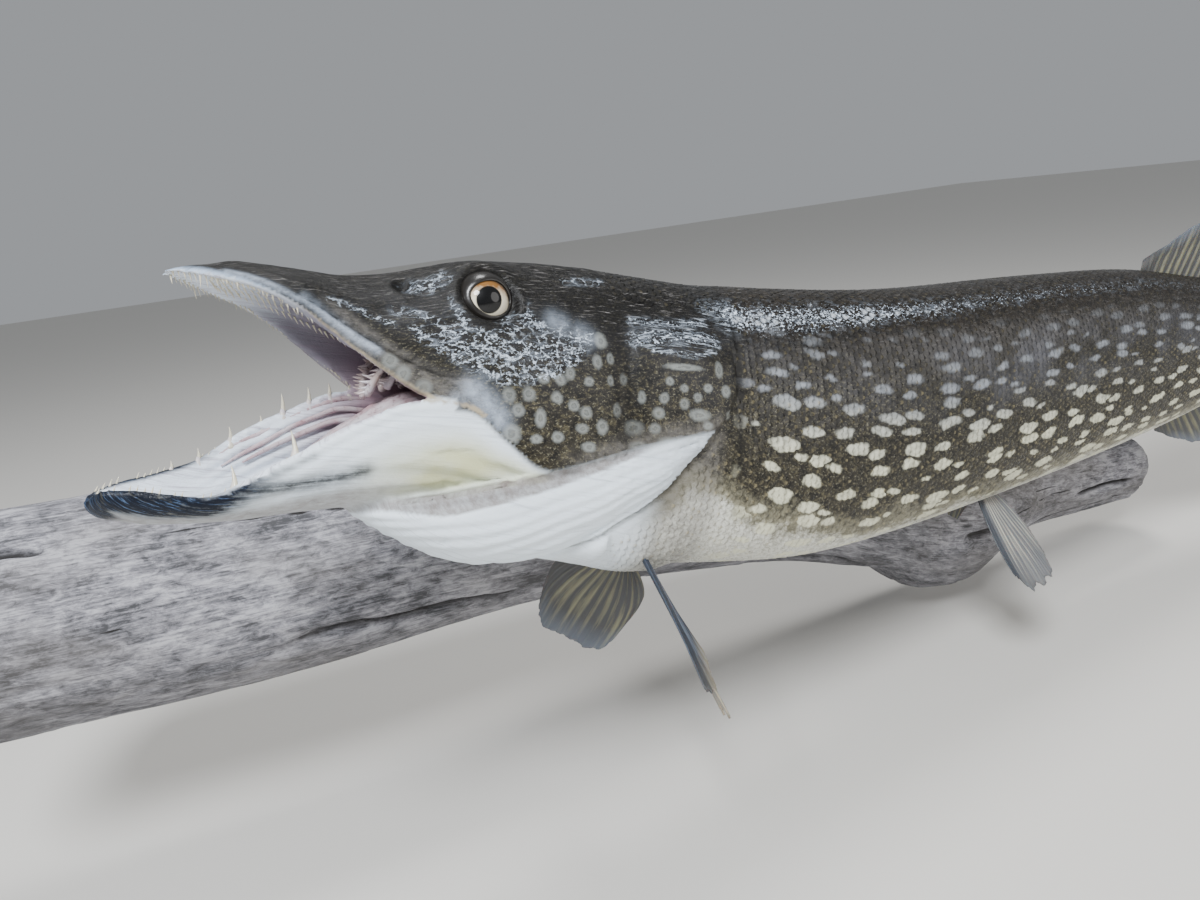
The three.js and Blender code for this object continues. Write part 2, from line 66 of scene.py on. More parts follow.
# --- sizes shared with the solid model, in millimetres ------------------------------------------
# The fish is measured along its spine: s from the snout, b to its right and c to its back.
TOTAL_LENGTH = 960
SPINE_STEP = 4
SNOUT = (-262.7, -202.2, 155.5)
HEAD_END = 178
TRUNK_END = 876
BODY_ROUNDNESS = 2.4
YAW = [(0, 10.3), (250, 10.3), (360, 9.3), (480, 8.3), (660, 2.7), (800, -6), (960, -24)]
DROP = [(0, 15.9), (250, 15.9), (340, 9.6), (480, 3.4), (660, 3.4), (800, -4), (960, -8)]
ROLL = [(0, 11.9), (250, 11.9), (420, 0), (960, 0)]
BODY_WIDTH = [(178, 38), (235, 42), (300, 45), (430, 47), (560, 45), (650, 40), (730, 31),
              (800, 21), (845, 15), (876, 11)]
BACK = [(178, 69), (235, 68.5), (270, 71), (330, 73), (430, 72), (560, 68.5), (650, 63.5),
        (730, 50), (800, 35), (845, 30), (876, 31)]
BELLY = [(178, -74), (200, -79), (215, -80), (235, -77), (270, -78), (330, -80), (430, -78),
         (560, -73), (650, -65), (730, -53), (800, -36), (845, -30), (876, -31)]
CROWN = [(0, 45.5), (6, 47), (15, 49), (35, 50), (60, 50), (80, 53), (100, 58.5), (122, 64),
         (150, 67.5), (178, 69)]
LIP_WIDTH = [(0, 4), (6, 9), (15, 15), (30, 21), (45, 24.5), (65, 27), (85, 30.5), (100, 33.5),
             (112, 36), (141, 39.5), (178, 42)]
LIP_EDGE = [(0, 43.5), (6, 43), (15, 41.5), (30, 38), (45, 31), (65, 17), (85, 4), (100, -3),
            (112, -5), (125, -16), (141, -27.5), (178, -31)]
ARCH_SQUARE = [(0, 2), (45, 2.1), (85, 2.2), (122, 2.6), (178, 2.5)]
PALATE = [(0, 44.6), (6, 44.8), (15, 44), (30, 42), (45, 40), (65, 36), (85, 33), (112, 28),
          (150, 22), (178, 14)]
LIP_THICK = [(0, 1.2), (6, 2.5), (15, 4), (45, 5), (85, 5.5), (112, 6), (178, 7)]
JAW_WIDTH = [(-24, 3), (-21, 9), (-14, 15), (0, 20), (20, 23.5), (40, 25.5), (60, 27), (80, 30),
             (100, 33.5), (120, 36.5), (146, 39)]
RIM_LEFT = [(-24, -40), (-21, -38.2), (-16, -37.2), (-5, -38), (5, -39.6), (13, -40.2), (21, -37.5),
            (29, -33.4), (46, -24), (71, -10), (92, -3), (109, -5), (125, -17), (146, -31)]
RIM_RIGHT = [(-24, -39), (-21, -37.2), (-14, -34.6), (0, -30.8), (15, -25.6), (34, -13.5), (54, -3),
             (74, 5), (88, 6), (100, -1), (112, -8), (125, -17), (146, -31)]
KEEL = [(-24, -43.5), (-21, -46.5), (-14, -48.5), (0, -50.5), (23, -50), (49, -47), (70, -45),
        (103, -41), (146, -35.5)]
JAW_FLOOR = [(-24, -41.5), (-21, -41), (-14, -40.4), (0, -40.6), (13, -41.4), (23, -40.4),
             (49, -38), (70, -36), (103, -33), (146, -32.5)]
COVER_TOP = [(178, 47), (226, 46), (238, 38), (244, 27), (247, 16)]
COVER_LOW = [(178, -25), (205, -19), (230, -11), (240, -2), (244, 6), (247, 12)]
COVER_WIDTH = [(178, 43.5), (215, 46), (240, 46), (247, 45)]
COVER_THICKNESS = 4.5
BIB_WIDTH = [(70, 3), (80, 15), (105, 29), (130, 35), (160, 39.5), (190, 43.5), (234, 45)]
BIB_TOP = [(70, -45.5), (105, -40), (141, -33), (170, -26), (192, -20), (234, -11.5)]
BIB_LOW = [(70, -47), (85, -56), (105, -66), (129, -71.5), (155, -69.5), (181, -59), (205, -47),
           (222, -28), (234, -13)]
STRIP_DEPTH = [(72, 0), (90, 5), (105, 8.5), (130, 7.5), (160, 5), (200, 1.5)]
BREAST_WIDTH = [(128, 5), (150, 15), (178, 29)]
BREAST_LOW = [(128, -61), (150, -68.5), (178, -74)]
TONGUE_WIDTH = [(40, 3), (50, 7), (70, 10), (100, 14), (140, 17)]
TONGUE_TOP = [(40, -33), (50, -24.5), (60, -16), (70, -9), (80, -2), (100, 5), (140, 6)]
TONGUE_LOW = [(40, -36), (50, -35), (70, -27), (100, -16), (140, -12)]
EYE_AT = (121.5, 20.5, 43.0)
EYE_RADIUS = 12.0
NOSTRIL_AT = (87, 18.5)
WHITE_REACH = [(170, 0.12), (205, 0.2), (224, 0.36), (256, 0.16), (330, 0), (876, 0)]
# band of painted glints along the upper side: its level, width and strength along the fish
BAND_LEVEL = [(234, 0.7), (269, 0.68), (311, 0.73), (379, 0.82), (504, 0.85), (876, 0.8)]
BAND_WIDTH = [(234, 0.13), (300, 0.12), (400, 0.08), (876, 0.07)]
BAND_STRENGTH = [(234, 0.9), (330, 0.8), (400, 0.6), (560, 0.4), (876, 0.3)]
LIP_BAND = [(0, 5.5), (15, 4.0), (30, 2.0), (46, 1.1), (116, 1.0)]
TRUNK_HALF = (45, 73)
# opening of the dark lid round each eye, narrowest at the top, where the lid covers the glass as painted
# shade of the brow
LID_OPENING = [(-1, 8.8), (-0.2, 9.2), (0.5, 7.4), (1, 5.4)]
CANINES = [(4, 4), (14, 6), (26, 8), (38, 6), (47, 10), (58, 8), (67, 9), (76, 6)]
NEAR_CANINES = (26, 47)
TOOTH_FOOT = np.array([1.9, 2.0, 1.9, 1.5, 1.1, 0.7])
JAW_SIDES = ((-1, RIM_LEFT), (1, RIM_RIGHT))
# Painted highlights of the head, thin white lines and blotches: knots as (s, c), width and strength.
WEB = [([(90, 25), (100, 19), (110, 13), (122, 8), (136, 9), (149, 13), (160, 21), (166, 30)], 2.8, 1.0),
       ([(104, 24), (112, 20), (125, 18), (141, 20), (156, 26)], 7.0, 0.95),
       ([(106, 36), (110, 29), (116, 25), (126, 28), (133, 37)], 2.0, 0.8),
       ([(126, 32), (136, 35), (143, 31)], 3.4, 0.9), ([(190, 39), (210, 39), (232, 42)], 2.4, 0.85),
       ([(190, 30), (212, 33), (235, 33)], 4.0, 1.0), ([(197, 25), (219, 24), (232, 27)], 1.6, 0.8),
       ([(88, 45), (96, 46), (104, 51)], 3.2, 0.7), ([(56, 36), (64, 34), (72, 31), (80, 28)], 1.4, 0.9),
       ([(81, 34), (91, 33), (98, 30)], 2.2, 0.6), ([(88, 27), (98, 24), (104, 20)], 2.2, 0.6),
       ([(160, 56), (180, 58)], 2.6, 0.45), ([(236, 50), (258, 52)], 6.0, 0.5)]
# painted bluish sheen of cheek and lip, in the same form
HAZE = [([(46, 35.5), (56, 28), (64, 22), (73, 17)], 1.9, 0.95), ([(111, 2), (116, -3), (121, -9)], 5.4, 0.9),
        ([(20, 44), (31, 41), (38, 38), (44, 35)], 1.4, 0.7), ([(150, 35), (153, 34)], 4.6, 0.5),
        ([(162, 31), (166, 29)], 4.2, 0.45), ([(104, -1), (109, -3)], 3.0, 0.5)]
STREAK = [([(4, -39), (12, -41), (24, -39.6), (34, -37.6), (46, -36), (60, -33), (70, -30.5)], 3.4, 1.0),
          ([(14, -40.5), (26, -37.5), (38, -31.5), (50, -25)], 1.6, 0.55)]
# Round and long pale spots of the cheek and gill cover: s, c and their half sizes.
HEAD_SPOTS = [(126, 1, 2.9, 3.3), (135, 2, 3.0, 3.2), (148, 1, 2.6, 2.7), (130, -5, 2.7, 2.7),
              (140, -8, 2.4, 4.0), (156, -2, 2.5, 2.5), (162, -5, 2.7, 2.8), (160, -12, 3.0, 2.2),
              (170, -11, 2.8, 3.2), (127, -15, 3.8, 4.0), (150, 9, 2.6, 2.4), (155, 12, 2.2, 2.9),
              (169, 18, 2.3, 3.2), (176, 20, 1.8, 2.6), (175, 10, 1.6, 2.4), (182, 11, 1.8, 2.6),
              (178, -3, 2.2, 3.0), (186, -11, 4.4, 3.2), (196, -11, 2.8, 2.4), (142, 9, 2.6, 2.2),
              (172, 28, 3.2, 3.4), (212, 18, 11.0, 1.5), (201, 3, 2.5, 2.4), (212, 1, 2.8, 2.6),
              (220, 4, 2.5, 2.2), (226, 9, 2.5, 2.0), (212, 8, 2.3, 1.9), (237, 8, 2.8, 2.7),
              (198, -4, 3.0, 2.7), (221, -4, 6.0, 2.6), (204, 11, 2.2, 1.9), (233, 18, 2.4, 4.0),
              (164, 9, 2.4, 2.1), (190, 3, 1.8, 2.8), (188, -19, 4.0, 2.2), (203, -17, 5.4, 2.2),
              (163, -20, 3.4, 2.2), (148, -16, 2.8, 2.2), (78, 13, 2.9, 3.2), (83, 8, 2.8, 3.2),
              (91, 3, 3.2, 3.0), (226, -9, 3.0, 1.8), (240, -3, 2.6, 2.0), (138, -17, 2.6, 2.0)]
BIB_EDGE = [(120, -76), (150, -68), (178, -58), (186, -53), (196, -47.5), (208, -38), (218, -28),
            (225, -20), (230, -12.5), (236, -8)]
FLESH = ["head_upper", "jaw_lower", "breast", "gill_cover_left", "gill_cover_right",
         "gill_membrane_left", "gill_membrane_right", "trunk_front", "trunk_middle", "trunk_rear",
         "tail_stalk"]


# --- curves and body frames ---------------------------------------------------------------------
def curve(x, knots):
    """Smooth curve through the knots that never overshoots them."""
    xs, ys = np.array(knots, float).T
    x = np.clip(np.asarray(x, float), xs[0], xs[-1])
    step, slope = np.diff(xs), np.diff(ys) / np.diff(xs)
    before, after = slope[:-1], slope[1:]
    mean = (before * step[1:] + after * step[:-1]) / (step[:-1] + step[1:])
    limit = np.minimum(np.abs(mean), 3 * np.minimum(np.abs(before), np.abs(after)))
    inner = np.where(before * after <= 0, 0, np.sign(mean) * limit)
    tangent = np.concatenate([slope[:1], inner, slope[-1:]])
    k = np.clip(np.searchsorted(xs, x, side="right") - 1, 0, len(xs) - 2)
    t = (x - xs[k]) / step[k]
    return (ys[k] * (1 + 2 * t) * (1 - t) ** 2 + ys[k + 1] * t * t * (3 - 2 * t)
            + step[k] * (tangent[k] * t * (1 - t) ** 2 + tangent[k + 1] * t * t * (t - 1)))


def make_spine():
    """Points of the spine and, at each, its tailward, right and up directions."""
    s = np.arange(0, TOTAL_LENGTH + SPINE_STEP + 1, SPINE_STEP)
    yaw, drop, roll = (np.radians(curve(s, knots))[:, None] for knots in (YAW, DROP, ROLL))
    along = np.hstack([np.cos(yaw) * np.cos(drop), np.sin(yaw) * np.cos(drop), -np.sin(drop)])
    level = np.hstack([-np.sin(yaw), np.cos(yaw), 0 * yaw])
    upright = np.cross(along, level)
    up = upright * np.cos(roll) + level * np.sin(roll)
    right = level * np.cos(roll) - upright * np.sin(roll)
    points = np.vstack([np.array(SNOUT), np.array(SNOUT) + np.cumsum(along[:-1] * SPINE_STEP, 0)])
    return s, points, along, right, up


SPINE = make_spine()


def frames(s):
    """Spine point and directions at each s."""
    out = []
    for table in SPINE[1:]:
        out.append(np.stack([np.interp(s, SPINE[0], table[:, k]) for k in range(3)], -1))
    out[0] = out[0] + np.minimum(s, 0)[..., None] * SPINE[2][0]
    return out


def place(s, b, c):
    """Point of the body, in millimetres."""
    s, b, c = np.broadcast_arrays(*(np.asarray(x, float) for x in (s, b, c)))
    point, _, right, up = frames(s)
    return point + right * b[..., None] + up * c[..., None]


def unplace(points):
    """s, b and c of points in millimetres, with the frames there."""
    s = (points - SPINE[1][0]) @ SPINE[2][0]
    for _ in range(6):
        point, along, right, up = frames(s)
        s = np.minimum(s + ((points - point) * along).sum(-1), TOTAL_LENGTH)
    point, along, right, up = frames(s)
    away = points - point
    return s, (away * right).sum(-1), (away * up).sum(-1), (along, right, up)


def squared(value, power):
    return np.sign(value) * np.abs(value) ** (2 / power)


def ramp(x, low, high):
    """Smooth step from 0 at low to 1 at high; high may be the smaller."""
    t = np.clip((np.asarray(x, float) - low) / (high - low), 0, 1)
    return t * t * (3 - 2 * t)


def bell(x, width):
    return np.exp(-(np.asarray(x, float) / width) ** 2)


def noise(points, size, seed=0):
    """Smooth value noise from -1 to 1, with features about size apart."""
    p = np.asarray(points, float) / size + seed * 17.31
    cell = np.floor(p).astype(np.int64)
    t = p - cell
    t = t * t * (3 - 2 * t)
    total = 0
    for corner in range(8):
        offset = np.array([corner & 1, corner >> 1 & 1, corner >> 2 & 1])
        n = ((cell + offset) * np.array([374761393, 668265263, 2147483647])).sum(-1) & 0xFFFFFFFF
        n = (n ^ n >> 13) * 1274126177 & 0xFFFFFFFF
        value = ((n ^ n >> 16) & 0xFFFF) / 32767.5 - 1
        weight = np.prod(np.where(offset, t, 1 - t), -1)
        total = total + value * weight
    return total


def layered(points, size, seed=0, layers=3):
    return sum(noise(points, size / 2 ** k, seed + k) / 2 ** k for k in range(layers)) / 1.75


# --- meshes -------------------------------------------------------------------------------------
def linear(hex_colour):
    """sRGB hex to a linear colour with alpha 1."""
    parts = [int(hex_colour[k:k + 2], 16) / 255 for k in (1, 3, 5)]
    return tuple(x / 12.92 if x <= 0.04045 else ((x + 0.055) / 1.055) ** 2.4 for x in parts) + (1,)


def make_mesh(name, points, quads, attributes=None, uv=None):
    """Smooth mesh object from points in millimetres and four-cornered faces."""
    mesh = bpy.data.meshes.new(name)
    points, quads = np.asarray(points, float).reshape(-1, 3), np.asarray(quads, np.int32)
    mesh.vertices.add(len(points))
    mesh.vertices.foreach_set("co", (points * MM).astype(np.float32).ravel())
    mesh.loops.add(quads.size)
    mesh.loops.foreach_set("vertex_index", quads.ravel())
    mesh.polygons.add(len(quads))
    mesh.polygons.foreach_set("loop_start", np.arange(0, quads.size, quads.shape[1], dtype=np.int32))
    mesh.update(calc_edges=True)
    if uv is not None:
        layer = mesh.uv_layers.new(name="OFBake")
        layer.data.foreach_set("uv", uv[quads.ravel()].astype(np.float32).ravel())
    for key, value in (attributes or {}).items():
        store(mesh, key, value)
    mesh.shade_smooth()
    obj = bpy.data.objects.new(name, mesh)
    bpy.context.scene.collection.objects.link(obj)
    return obj


def store(mesh, key, value):
    layer = mesh.attributes.new(key, "FLOAT_VECTOR", "POINT")
    layer.data.foreach_set("vector", np.asarray(value, np.float32).ravel())


def grid_quads(rows, columns, wrap=False):
    """Faces of a rows by columns grid; wrap closes each row on itself."""
    r, c = np.meshgrid(np.arange(rows - 1), np.arange(columns if wrap else columns - 1),
                       indexing="ij")
    nxt = (c + 1) % columns
    return np.stack([r * columns + c, r * columns + nxt, (r + 1) * columns + nxt,
                     (r + 1) * columns + c], -1).reshape(-1, 4)


def closed_loft(rings):
    """Points and faces of a closed body through rings of equal size."""
    rings = np.asarray(rings)
    count, size = rings.shape[:2]
    quads = [grid_quads(count, size, wrap=True)]
    j = np.arange(size // 2 - 1)
    strip = np.stack([j, j + 1, size - 2 - j, size - 1 - j], -1)
    quads += [strip[:, ::-1], strip + (count - 1) * size]
    return rings.reshape(-1, 3), np.vstack(quads)


def join_shells(shells):
    points, quads, base = [], [], 0
    for p, q in shells:
        points.append(p)
        quads.append(q + base)
        base += len(p)
    return np.vstack(points), np.vstack(quads)


def tube(path, radii, sides=8):
    """Closed tube along a path of points, tapering by radii."""
    path, radii = np.asarray(path, float), np.asarray(radii, float)
    along = np.gradient(path, axis=0)
    along /= np.linalg.norm(along, axis=1)[:, None] + 1e-9
    side = np.cross(along, np.array([0.31, 0.17, 0.93]))
    side /= np.linalg.norm(side, axis=1)[:, None] + 1e-9
    other = np.cross(along, side)
    turn = np.linspace(0, 2 * math.pi, sides, endpoint=False)
    rings = (path[:, None] + radii[:, None, None] * (side[:, None] * np.cos(turn)[:, None]
             + other[:, None] * np.sin(turn)[:, None]))
    return closed_loft(rings)


# --- sections of the fish -----------------------------------------------------------------------
def body_ring(s, count=72, inset=0.0):
    turn = np.linspace(0, 2 * math.pi, count, endpoint=False)
    across, height = (squared(f(turn), BODY_ROUNDNESS) for f in (np.cos, np.sin))
    reach = np.where(height > 0, curve(s, BACK), -curve(s, BELLY)) - inset
    return place(s, (curve(s, BODY_WIDTH) - inset) * across, reach * height)


def arch_ring(s, sides=40):
    width, crown, edge = curve(s, LIP_WIDTH), curve(s, CROWN), curve(s, LIP_EDGE)
    roof = max(curve(s, PALATE), edge + 0.4)
    power = curve(s, ARCH_SQUARE)
    turn = np.linspace(-math.pi / 2, math.pi / 2, sides + 1)
    outer = place(s, width * squared(np.sin(turn), power),
                  edge + (crown - edge) * squared(np.cos(turn), power))
    turn = turn[::-1]
    inner = place(s, (width - curve(s, LIP_THICK)) * squared(np.sin(turn), 2.6),
                  edge + (roof - edge) * squared(np.cos(turn), 2.6))
    return np.vstack([outer, inner])


def jaw_ring(s, sides=40):
    width, left, right = curve(s, JAW_WIDTH), curve(s, RIM_LEFT), curve(s, RIM_RIGHT)
    keel = min(curve(s, KEEL), min(left, right) - 1.5)
    wall = min(5.0, width * 0.3)
    t = np.linspace(-1, 1, sides + 1)
    rim = np.where(t < 0, left, right)
    outer = place(s, width * squared(np.sin(t * math.pi / 2), 2.4),
                  rim + (keel - rim) * squared(np.cos(t * math.pi / 2), 2.4))
    t, rim = t[::-1], rim[::-1] - 0.6
    sunk = np.minimum(curve(s, JAW_FLOOR), rim - 0.3)
    inner = place(s, (width - wall) * squared(np.sin(t * math.pi / 2), 3),
                  rim + (sunk - rim) * squared(np.cos(t * math.pi / 2), 3))
    return np.vstack([outer, inner])


def cover_ring(s, side):
    heights = np.linspace(curve(s, COVER_LOW), curve(s, COVER_TOP), 20)
    free = ramp(s, 176, 200)

    def across(c):
        """The cheek's own width at the front, flaring to the cover's behind."""
        flare = curve(s, COVER_WIDTH) * (1 - 0.16 * np.maximum(0, (c - 12) / 40) ** 2
                                         - 0.05 * np.maximum(0, (-c - 5) / 30) ** 2)
        edge, crown, power = (curve(HEAD_END, knots) for knots in (LIP_EDGE, CROWN, ARCH_SQUARE))
        cheek = curve(HEAD_END, LIP_WIDTH) * (
            1 - np.clip((c - edge) / (crown - edge), 0, 1) ** power) ** (1 / power)
        trunk = curve(s, BODY_WIDTH) * (
            1 - np.clip(c / curve(s, BACK), 0, 1) ** BODY_ROUNDNESS) ** (1 / BODY_ROUNDNESS)
        flare = flare + (trunk - 0.5 - flare) * ramp(c, 22, curve(s, COVER_TOP))
        return free * flare + (1 - free) * (cheek - 0.4)

    outer = place(s, side * across(heights), heights)
    heights = heights[::-1]
    return np.vstack([outer, place(s, side * (across(heights) - COVER_THICKNESS), heights)])


def bib_ring(s, side):
    top, low, width = curve(s, BIB_TOP), curve(s, BIB_LOW), curve(s, BIB_WIDTH)
    waist = top - min(10, (top - low) * 0.3)
    turn = np.linspace(0, math.pi / 2, 21)
    flank = place(s, side * width * squared(np.cos(turn), 2.2),
                  waist + (low - waist) * squared(np.sin(turn), 2.2))
    inside = place(s, np.linspace(-0.5, 0.97, 21) * side * width, np.full(21, top + 0.6))
    return np.vstack([inside, flank])


def breast_ring(s):
    width, low, top = curve(s, BREAST_WIDTH), curve(s, BREAST_LOW), -46.0
    turn = np.linspace(0, 2 * math.pi, 48, endpoint=False)
    return place(s, width * squared(np.cos(turn), 2.3),
                 (top + low) / 2 + (top - low) / 2 * squared(np.sin(turn), 2.3))


def tongue_ring(s):
    high, deep = curve(s, TONGUE_TOP), curve(s, TONGUE_LOW)
    turn = np.linspace(0, 2 * math.pi, 48, endpoint=False)
    return place(s, curve(s, TONGUE_WIDTH) * squared(np.cos(turn), 2.4),
                 (high + deep) / 2 + (high - deep) / 2 * squared(np.sin(turn), 2.4))


def spread(low, high, step):
    return np.linspace(low, high, int((high - low) / step) + 1)


# --- where the markings lie ---------------------------------------------------------------------
def level_of(s, c):
    """Height on the body, from -1 at the belly to 1 at the back."""
    return np.where(c > 0, c / curve(s, BACK), -c / curve(s, BELLY))


def strip_of(s, c):
    """1 in the shadowed band of throat skin between the lower jaw and the gill membrane."""
    edge = curve(s, BIB_TOP) - curve(s, STRIP_DEPTH)
    return ramp(s, 72, 90) * ramp(s, 206, 176) * ramp(c, edge - 0.8, edge + 0.8)


def near_lines(s, c, lines):
    """1 on the lines, fading over the width of each."""
    best = 0 * s
    for knots, width, strength in lines:
        away = np.full(s.shape, 1e3)
        for (s0, c0), (s1, c1) in zip(knots, knots[1:]):
            run, climb = s1 - s0, c1 - c0
            t = np.clip(((s - s0) * run + (c - c0) * climb) / (run ** 2 + climb ** 2), 0, 1)
            away = np.minimum(away, np.hypot(s - s0 - t * run, c - c0 - t * climb))
        best = np.maximum(best, strength * bell(away, width))
    return best


def spot_field(s, c):
    """From 1 in the middle of the head's spots, through 0.375 on their edges, to 0."""
    away = np.full(s.shape, 1.6)
    for at, height, long_, tall in HEAD_SPOTS:
        away = np.minimum(away, np.hypot((s - at) / long_, (c - height) / tall))
    return 1 - away / 1.6


def on_bib(s, c):
    """1 on the gill membrane, with a sharp free edge below and behind."""
    edge = curve(s, BIB_EDGE)
    return ramp(s, 70, 78) * ramp(c, curve(s, BIB_TOP) + 2, curve(s, BIB_TOP) - 0.5) * ramp(
        c, edge - 0.5, edge + 0.7) * ramp(s, 236, 232)


def valley_at(c):
    """Where the shallow valley in front of the gill cover runs, as s against height."""
    return 182 + 1.6 * np.sin(c / 8) + 0.004 * (c - 12) ** 2


def girth_at(turn):
    """Length along the section of the trunk from its widest point, in millimetres."""
    fine = np.linspace(-math.pi / 2, math.pi / 2, 401)
    steps = np.hypot(np.diff(TRUNK_HALF[0] * squared(np.cos(fine), BODY_ROUNDNESS)),
                     np.diff(TRUNK_HALF[1] * squared(np.sin(fine), BODY_ROUNDNESS)))
    run = np.concatenate([[0], np.cumsum(steps)])
    return np.interp(turn, fine, run - run[len(run) // 2])


def from_nostril(s, across):
    """Distance from the middle of the oval nostril, in millimetres."""
    return np.hypot((s - NOSTRIL_AT[0]) / 1.45, across - NOSTRIL_AT[1])


def marks(s, b, c, normal):
    """Attributes that place the markings, painted shade and painted highlights among them: body coordinates
    and four sets of three masks.
    """
    across = np.abs(b)
    level = level_of(s, c)
    turn = np.arctan2(squared(level, 2 / 1.2), (across / curve(s, BODY_WIDTH)) ** 1.2 + 1e-3)
    # the white of the belly reaches higher behind the throat
    shown = level - curve(s, WHITE_REACH) * ramp(level, 0, -0.4)
    body = np.stack([s, girth_at(turn) + 300 * (b > 0), shown], -1)

    edge, palate, floor = curve(s, LIP_EDGE), curve(s, PALATE), curve(s, JAW_FLOOR)
    rim = np.where(b < 0, curve(s, RIM_LEFT), curve(s, RIM_RIGHT))
    middle = (palate + floor) / 2
    inward = (-b * normal[:, 1] + (middle - c) * normal[:, 2]) / np.sqrt(b ** 2 + (middle - c) ** 2 + 1)
    inward = np.maximum(inward, -normal[:, 0] * (s > 150))
    half = np.where(c < middle, curve(s, JAW_WIDTH), curve(s, LIP_WIDTH)) + 1 - 6 * ramp(s, 140, 165)
    inside = (ramp(inward, 0.0, 0.35) * ramp(s, 178, 172) * (across < half)
              * ramp(c, palate + 6, palate + 2) * ramp(c, floor - 4, floor - 1))
    inside = inside * (1 - ramp(s, 30, 8) * ramp(rim - c, 2.4 + 1.4 * (b < 0), 0.8) * (c < middle))
    inside = inside * ramp(s, -21, -17)

    keel = np.minimum(curve(s, KEEL), curve(s, RIM_LEFT) - 1.5)
    down = (rim - c) / (rim - keel)
    jaw = ramp(s, 150, 143) * ramp(c, rim + 3, rim + 1) * ramp(c, keel - 3.5, keel - 2) * (
        1 - ramp(c, edge - 4, edge - 1) * (s > 104))
    bib = on_bib(s, c)
    strip = strip_of(s, c) * bib
    breast = ramp(s, 60, 70) * ramp(s, 212, 186) * ramp(c, -40, -46) * (1 - bib)
    pale = np.maximum(jaw * np.maximum(ramp(s, -8, 30), ramp(down, 0.55, 0.8) * ramp(s, -21, -14)), bib)
    pale = np.maximum(pale, ramp(s, 178, 160) * ramp(c, -32, -44) * (s > 60))
    pale = np.maximum(pale, 0.85 * breast)
    tip = ramp(s + 16 * np.clip(down, 0, 1.2), 46, 22) * ramp(down, 0.9, 0.6) * jaw
    tip = np.maximum(tip, jaw * ramp(s, -10, -18) * ramp(down, 1.1, 0.9))
    # painted shade under the lower jaw
    jaw_underside_shade = jaw * ramp(down, 0.6, 0.85) * ramp(s, 110, 60)
    streak = near_lines(s, c, STREAK) * jaw * (b < 0) + (b > 0) * jaw * bell(
        (down - 0.3) / 0.25, 1.0) * ramp(s, 0, 12) * ramp(s, 70, 40)
    tint = 0.9 * jaw * ramp(s, 56, 96) * ramp(down, 0.15, 0.6) * ramp(down, 1.04, 0.85)

    near_head = s < 268
    web, haze, field = np.zeros_like(s), np.zeros_like(s), np.zeros_like(s)
    at, height = s[near_head], c[near_head]
    web[near_head] = near_lines(at, height, WEB)
    haze[near_head] = near_lines(at, height, HAZE)
    field[near_head] = spot_field(at, height)
    socket = np.hypot((s - EYE_AT[0]) / 1.12, c - EYE_AT[2] + 1)
    # painted highlight: a light line on the rim below the eye socket
    web = np.maximum(web, 0.6 * bell(socket - 15.5, 1.5) * ramp(c, 47, 36))
    outside = (1 - inside) * (across > 8) * (c > edge - 1) * (1 - bib)
    web, haze, field = web * outside, haze * outside, field * outside
    # band of painted glints along the upper side
    band = ramp(s, 232, 250) * bell(level - curve(s, BAND_LEVEL), curve(s, BAND_WIDTH))
    web = np.maximum(web, band * curve(s, BAND_STRENGTH))

    rise = c - edge
    lip = ramp(rise, curve(s, LIP_BAND), 0.3) * (s < 116) * (c > rim) * ramp(s, -2, 1)
    # painted shade in the recesses: the nostril, the valley before the gill cover, the gill slit, the groove
    # above the lip, the eye socket and the line under the gill membrane's free edge
    nostril = bell(from_nostril(s, across), 2.3) * (c > 30)
    crease_shade_and_glint = (0.55 * bell(s - valley_at(c), 7) * ramp(c, -26, -14) * ramp(c, 46, 30)
              + bell(s - 249.5, 2.2) * (1 - ramp(np.abs(c - 8), 34, 42))
              + 0.9 * bell(rise - 5 - 0.1 * (s - 42), 1.3) * ramp(s, 36, 46) * ramp(s, 112, 100)
              + 0.9 * bell(socket - 11.5, 2.0) * (across > 14) + nostril
              + 0.8 * bell(c - curve(s, BIB_EDGE) + 1.0, 0.9) * ramp(s, 128, 150) * ramp(s, 236, 230))
    plate = ramp(s, 50, 62) * ramp(s, 116, 110) * ramp(rise, 15, 10) * (rise > -1)
    lower = ramp(s, 140, 180) * ramp(s, 244, 232) * ramp(c, curve(s, BIB_TOP) + 12, curve(s, BIB_TOP) + 3)
    soft = np.maximum(0.8 * plate, 0.8 * lower) * (1 - inside) * (1 - bib)
    # Tone: pale skin, inside of the mouth and painted highlights; Mark: cheek spots, lip and painted shade of
    # the creases; Tint: jaw tip, jaw streak and jaw tint; Haze: painted bluish sheen, painted shade of the
    # throat band and under the jaw, and the grey-beige of the jaw plate and above the gill membrane
    return {"Body": body, "Tone": np.stack([pale, inside, web], -1),
            "Mark": np.stack([field, lip, np.clip(crease_shade_and_glint, 0, 1)], -1),
            "Tint": np.stack([tip, np.clip(streak, 0, 1), tint], -1),
            "Haze": np.stack([haze, np.clip(1.5 * strip + 0.9 * jaw_underside_shade, 0, 1), soft], -1)}


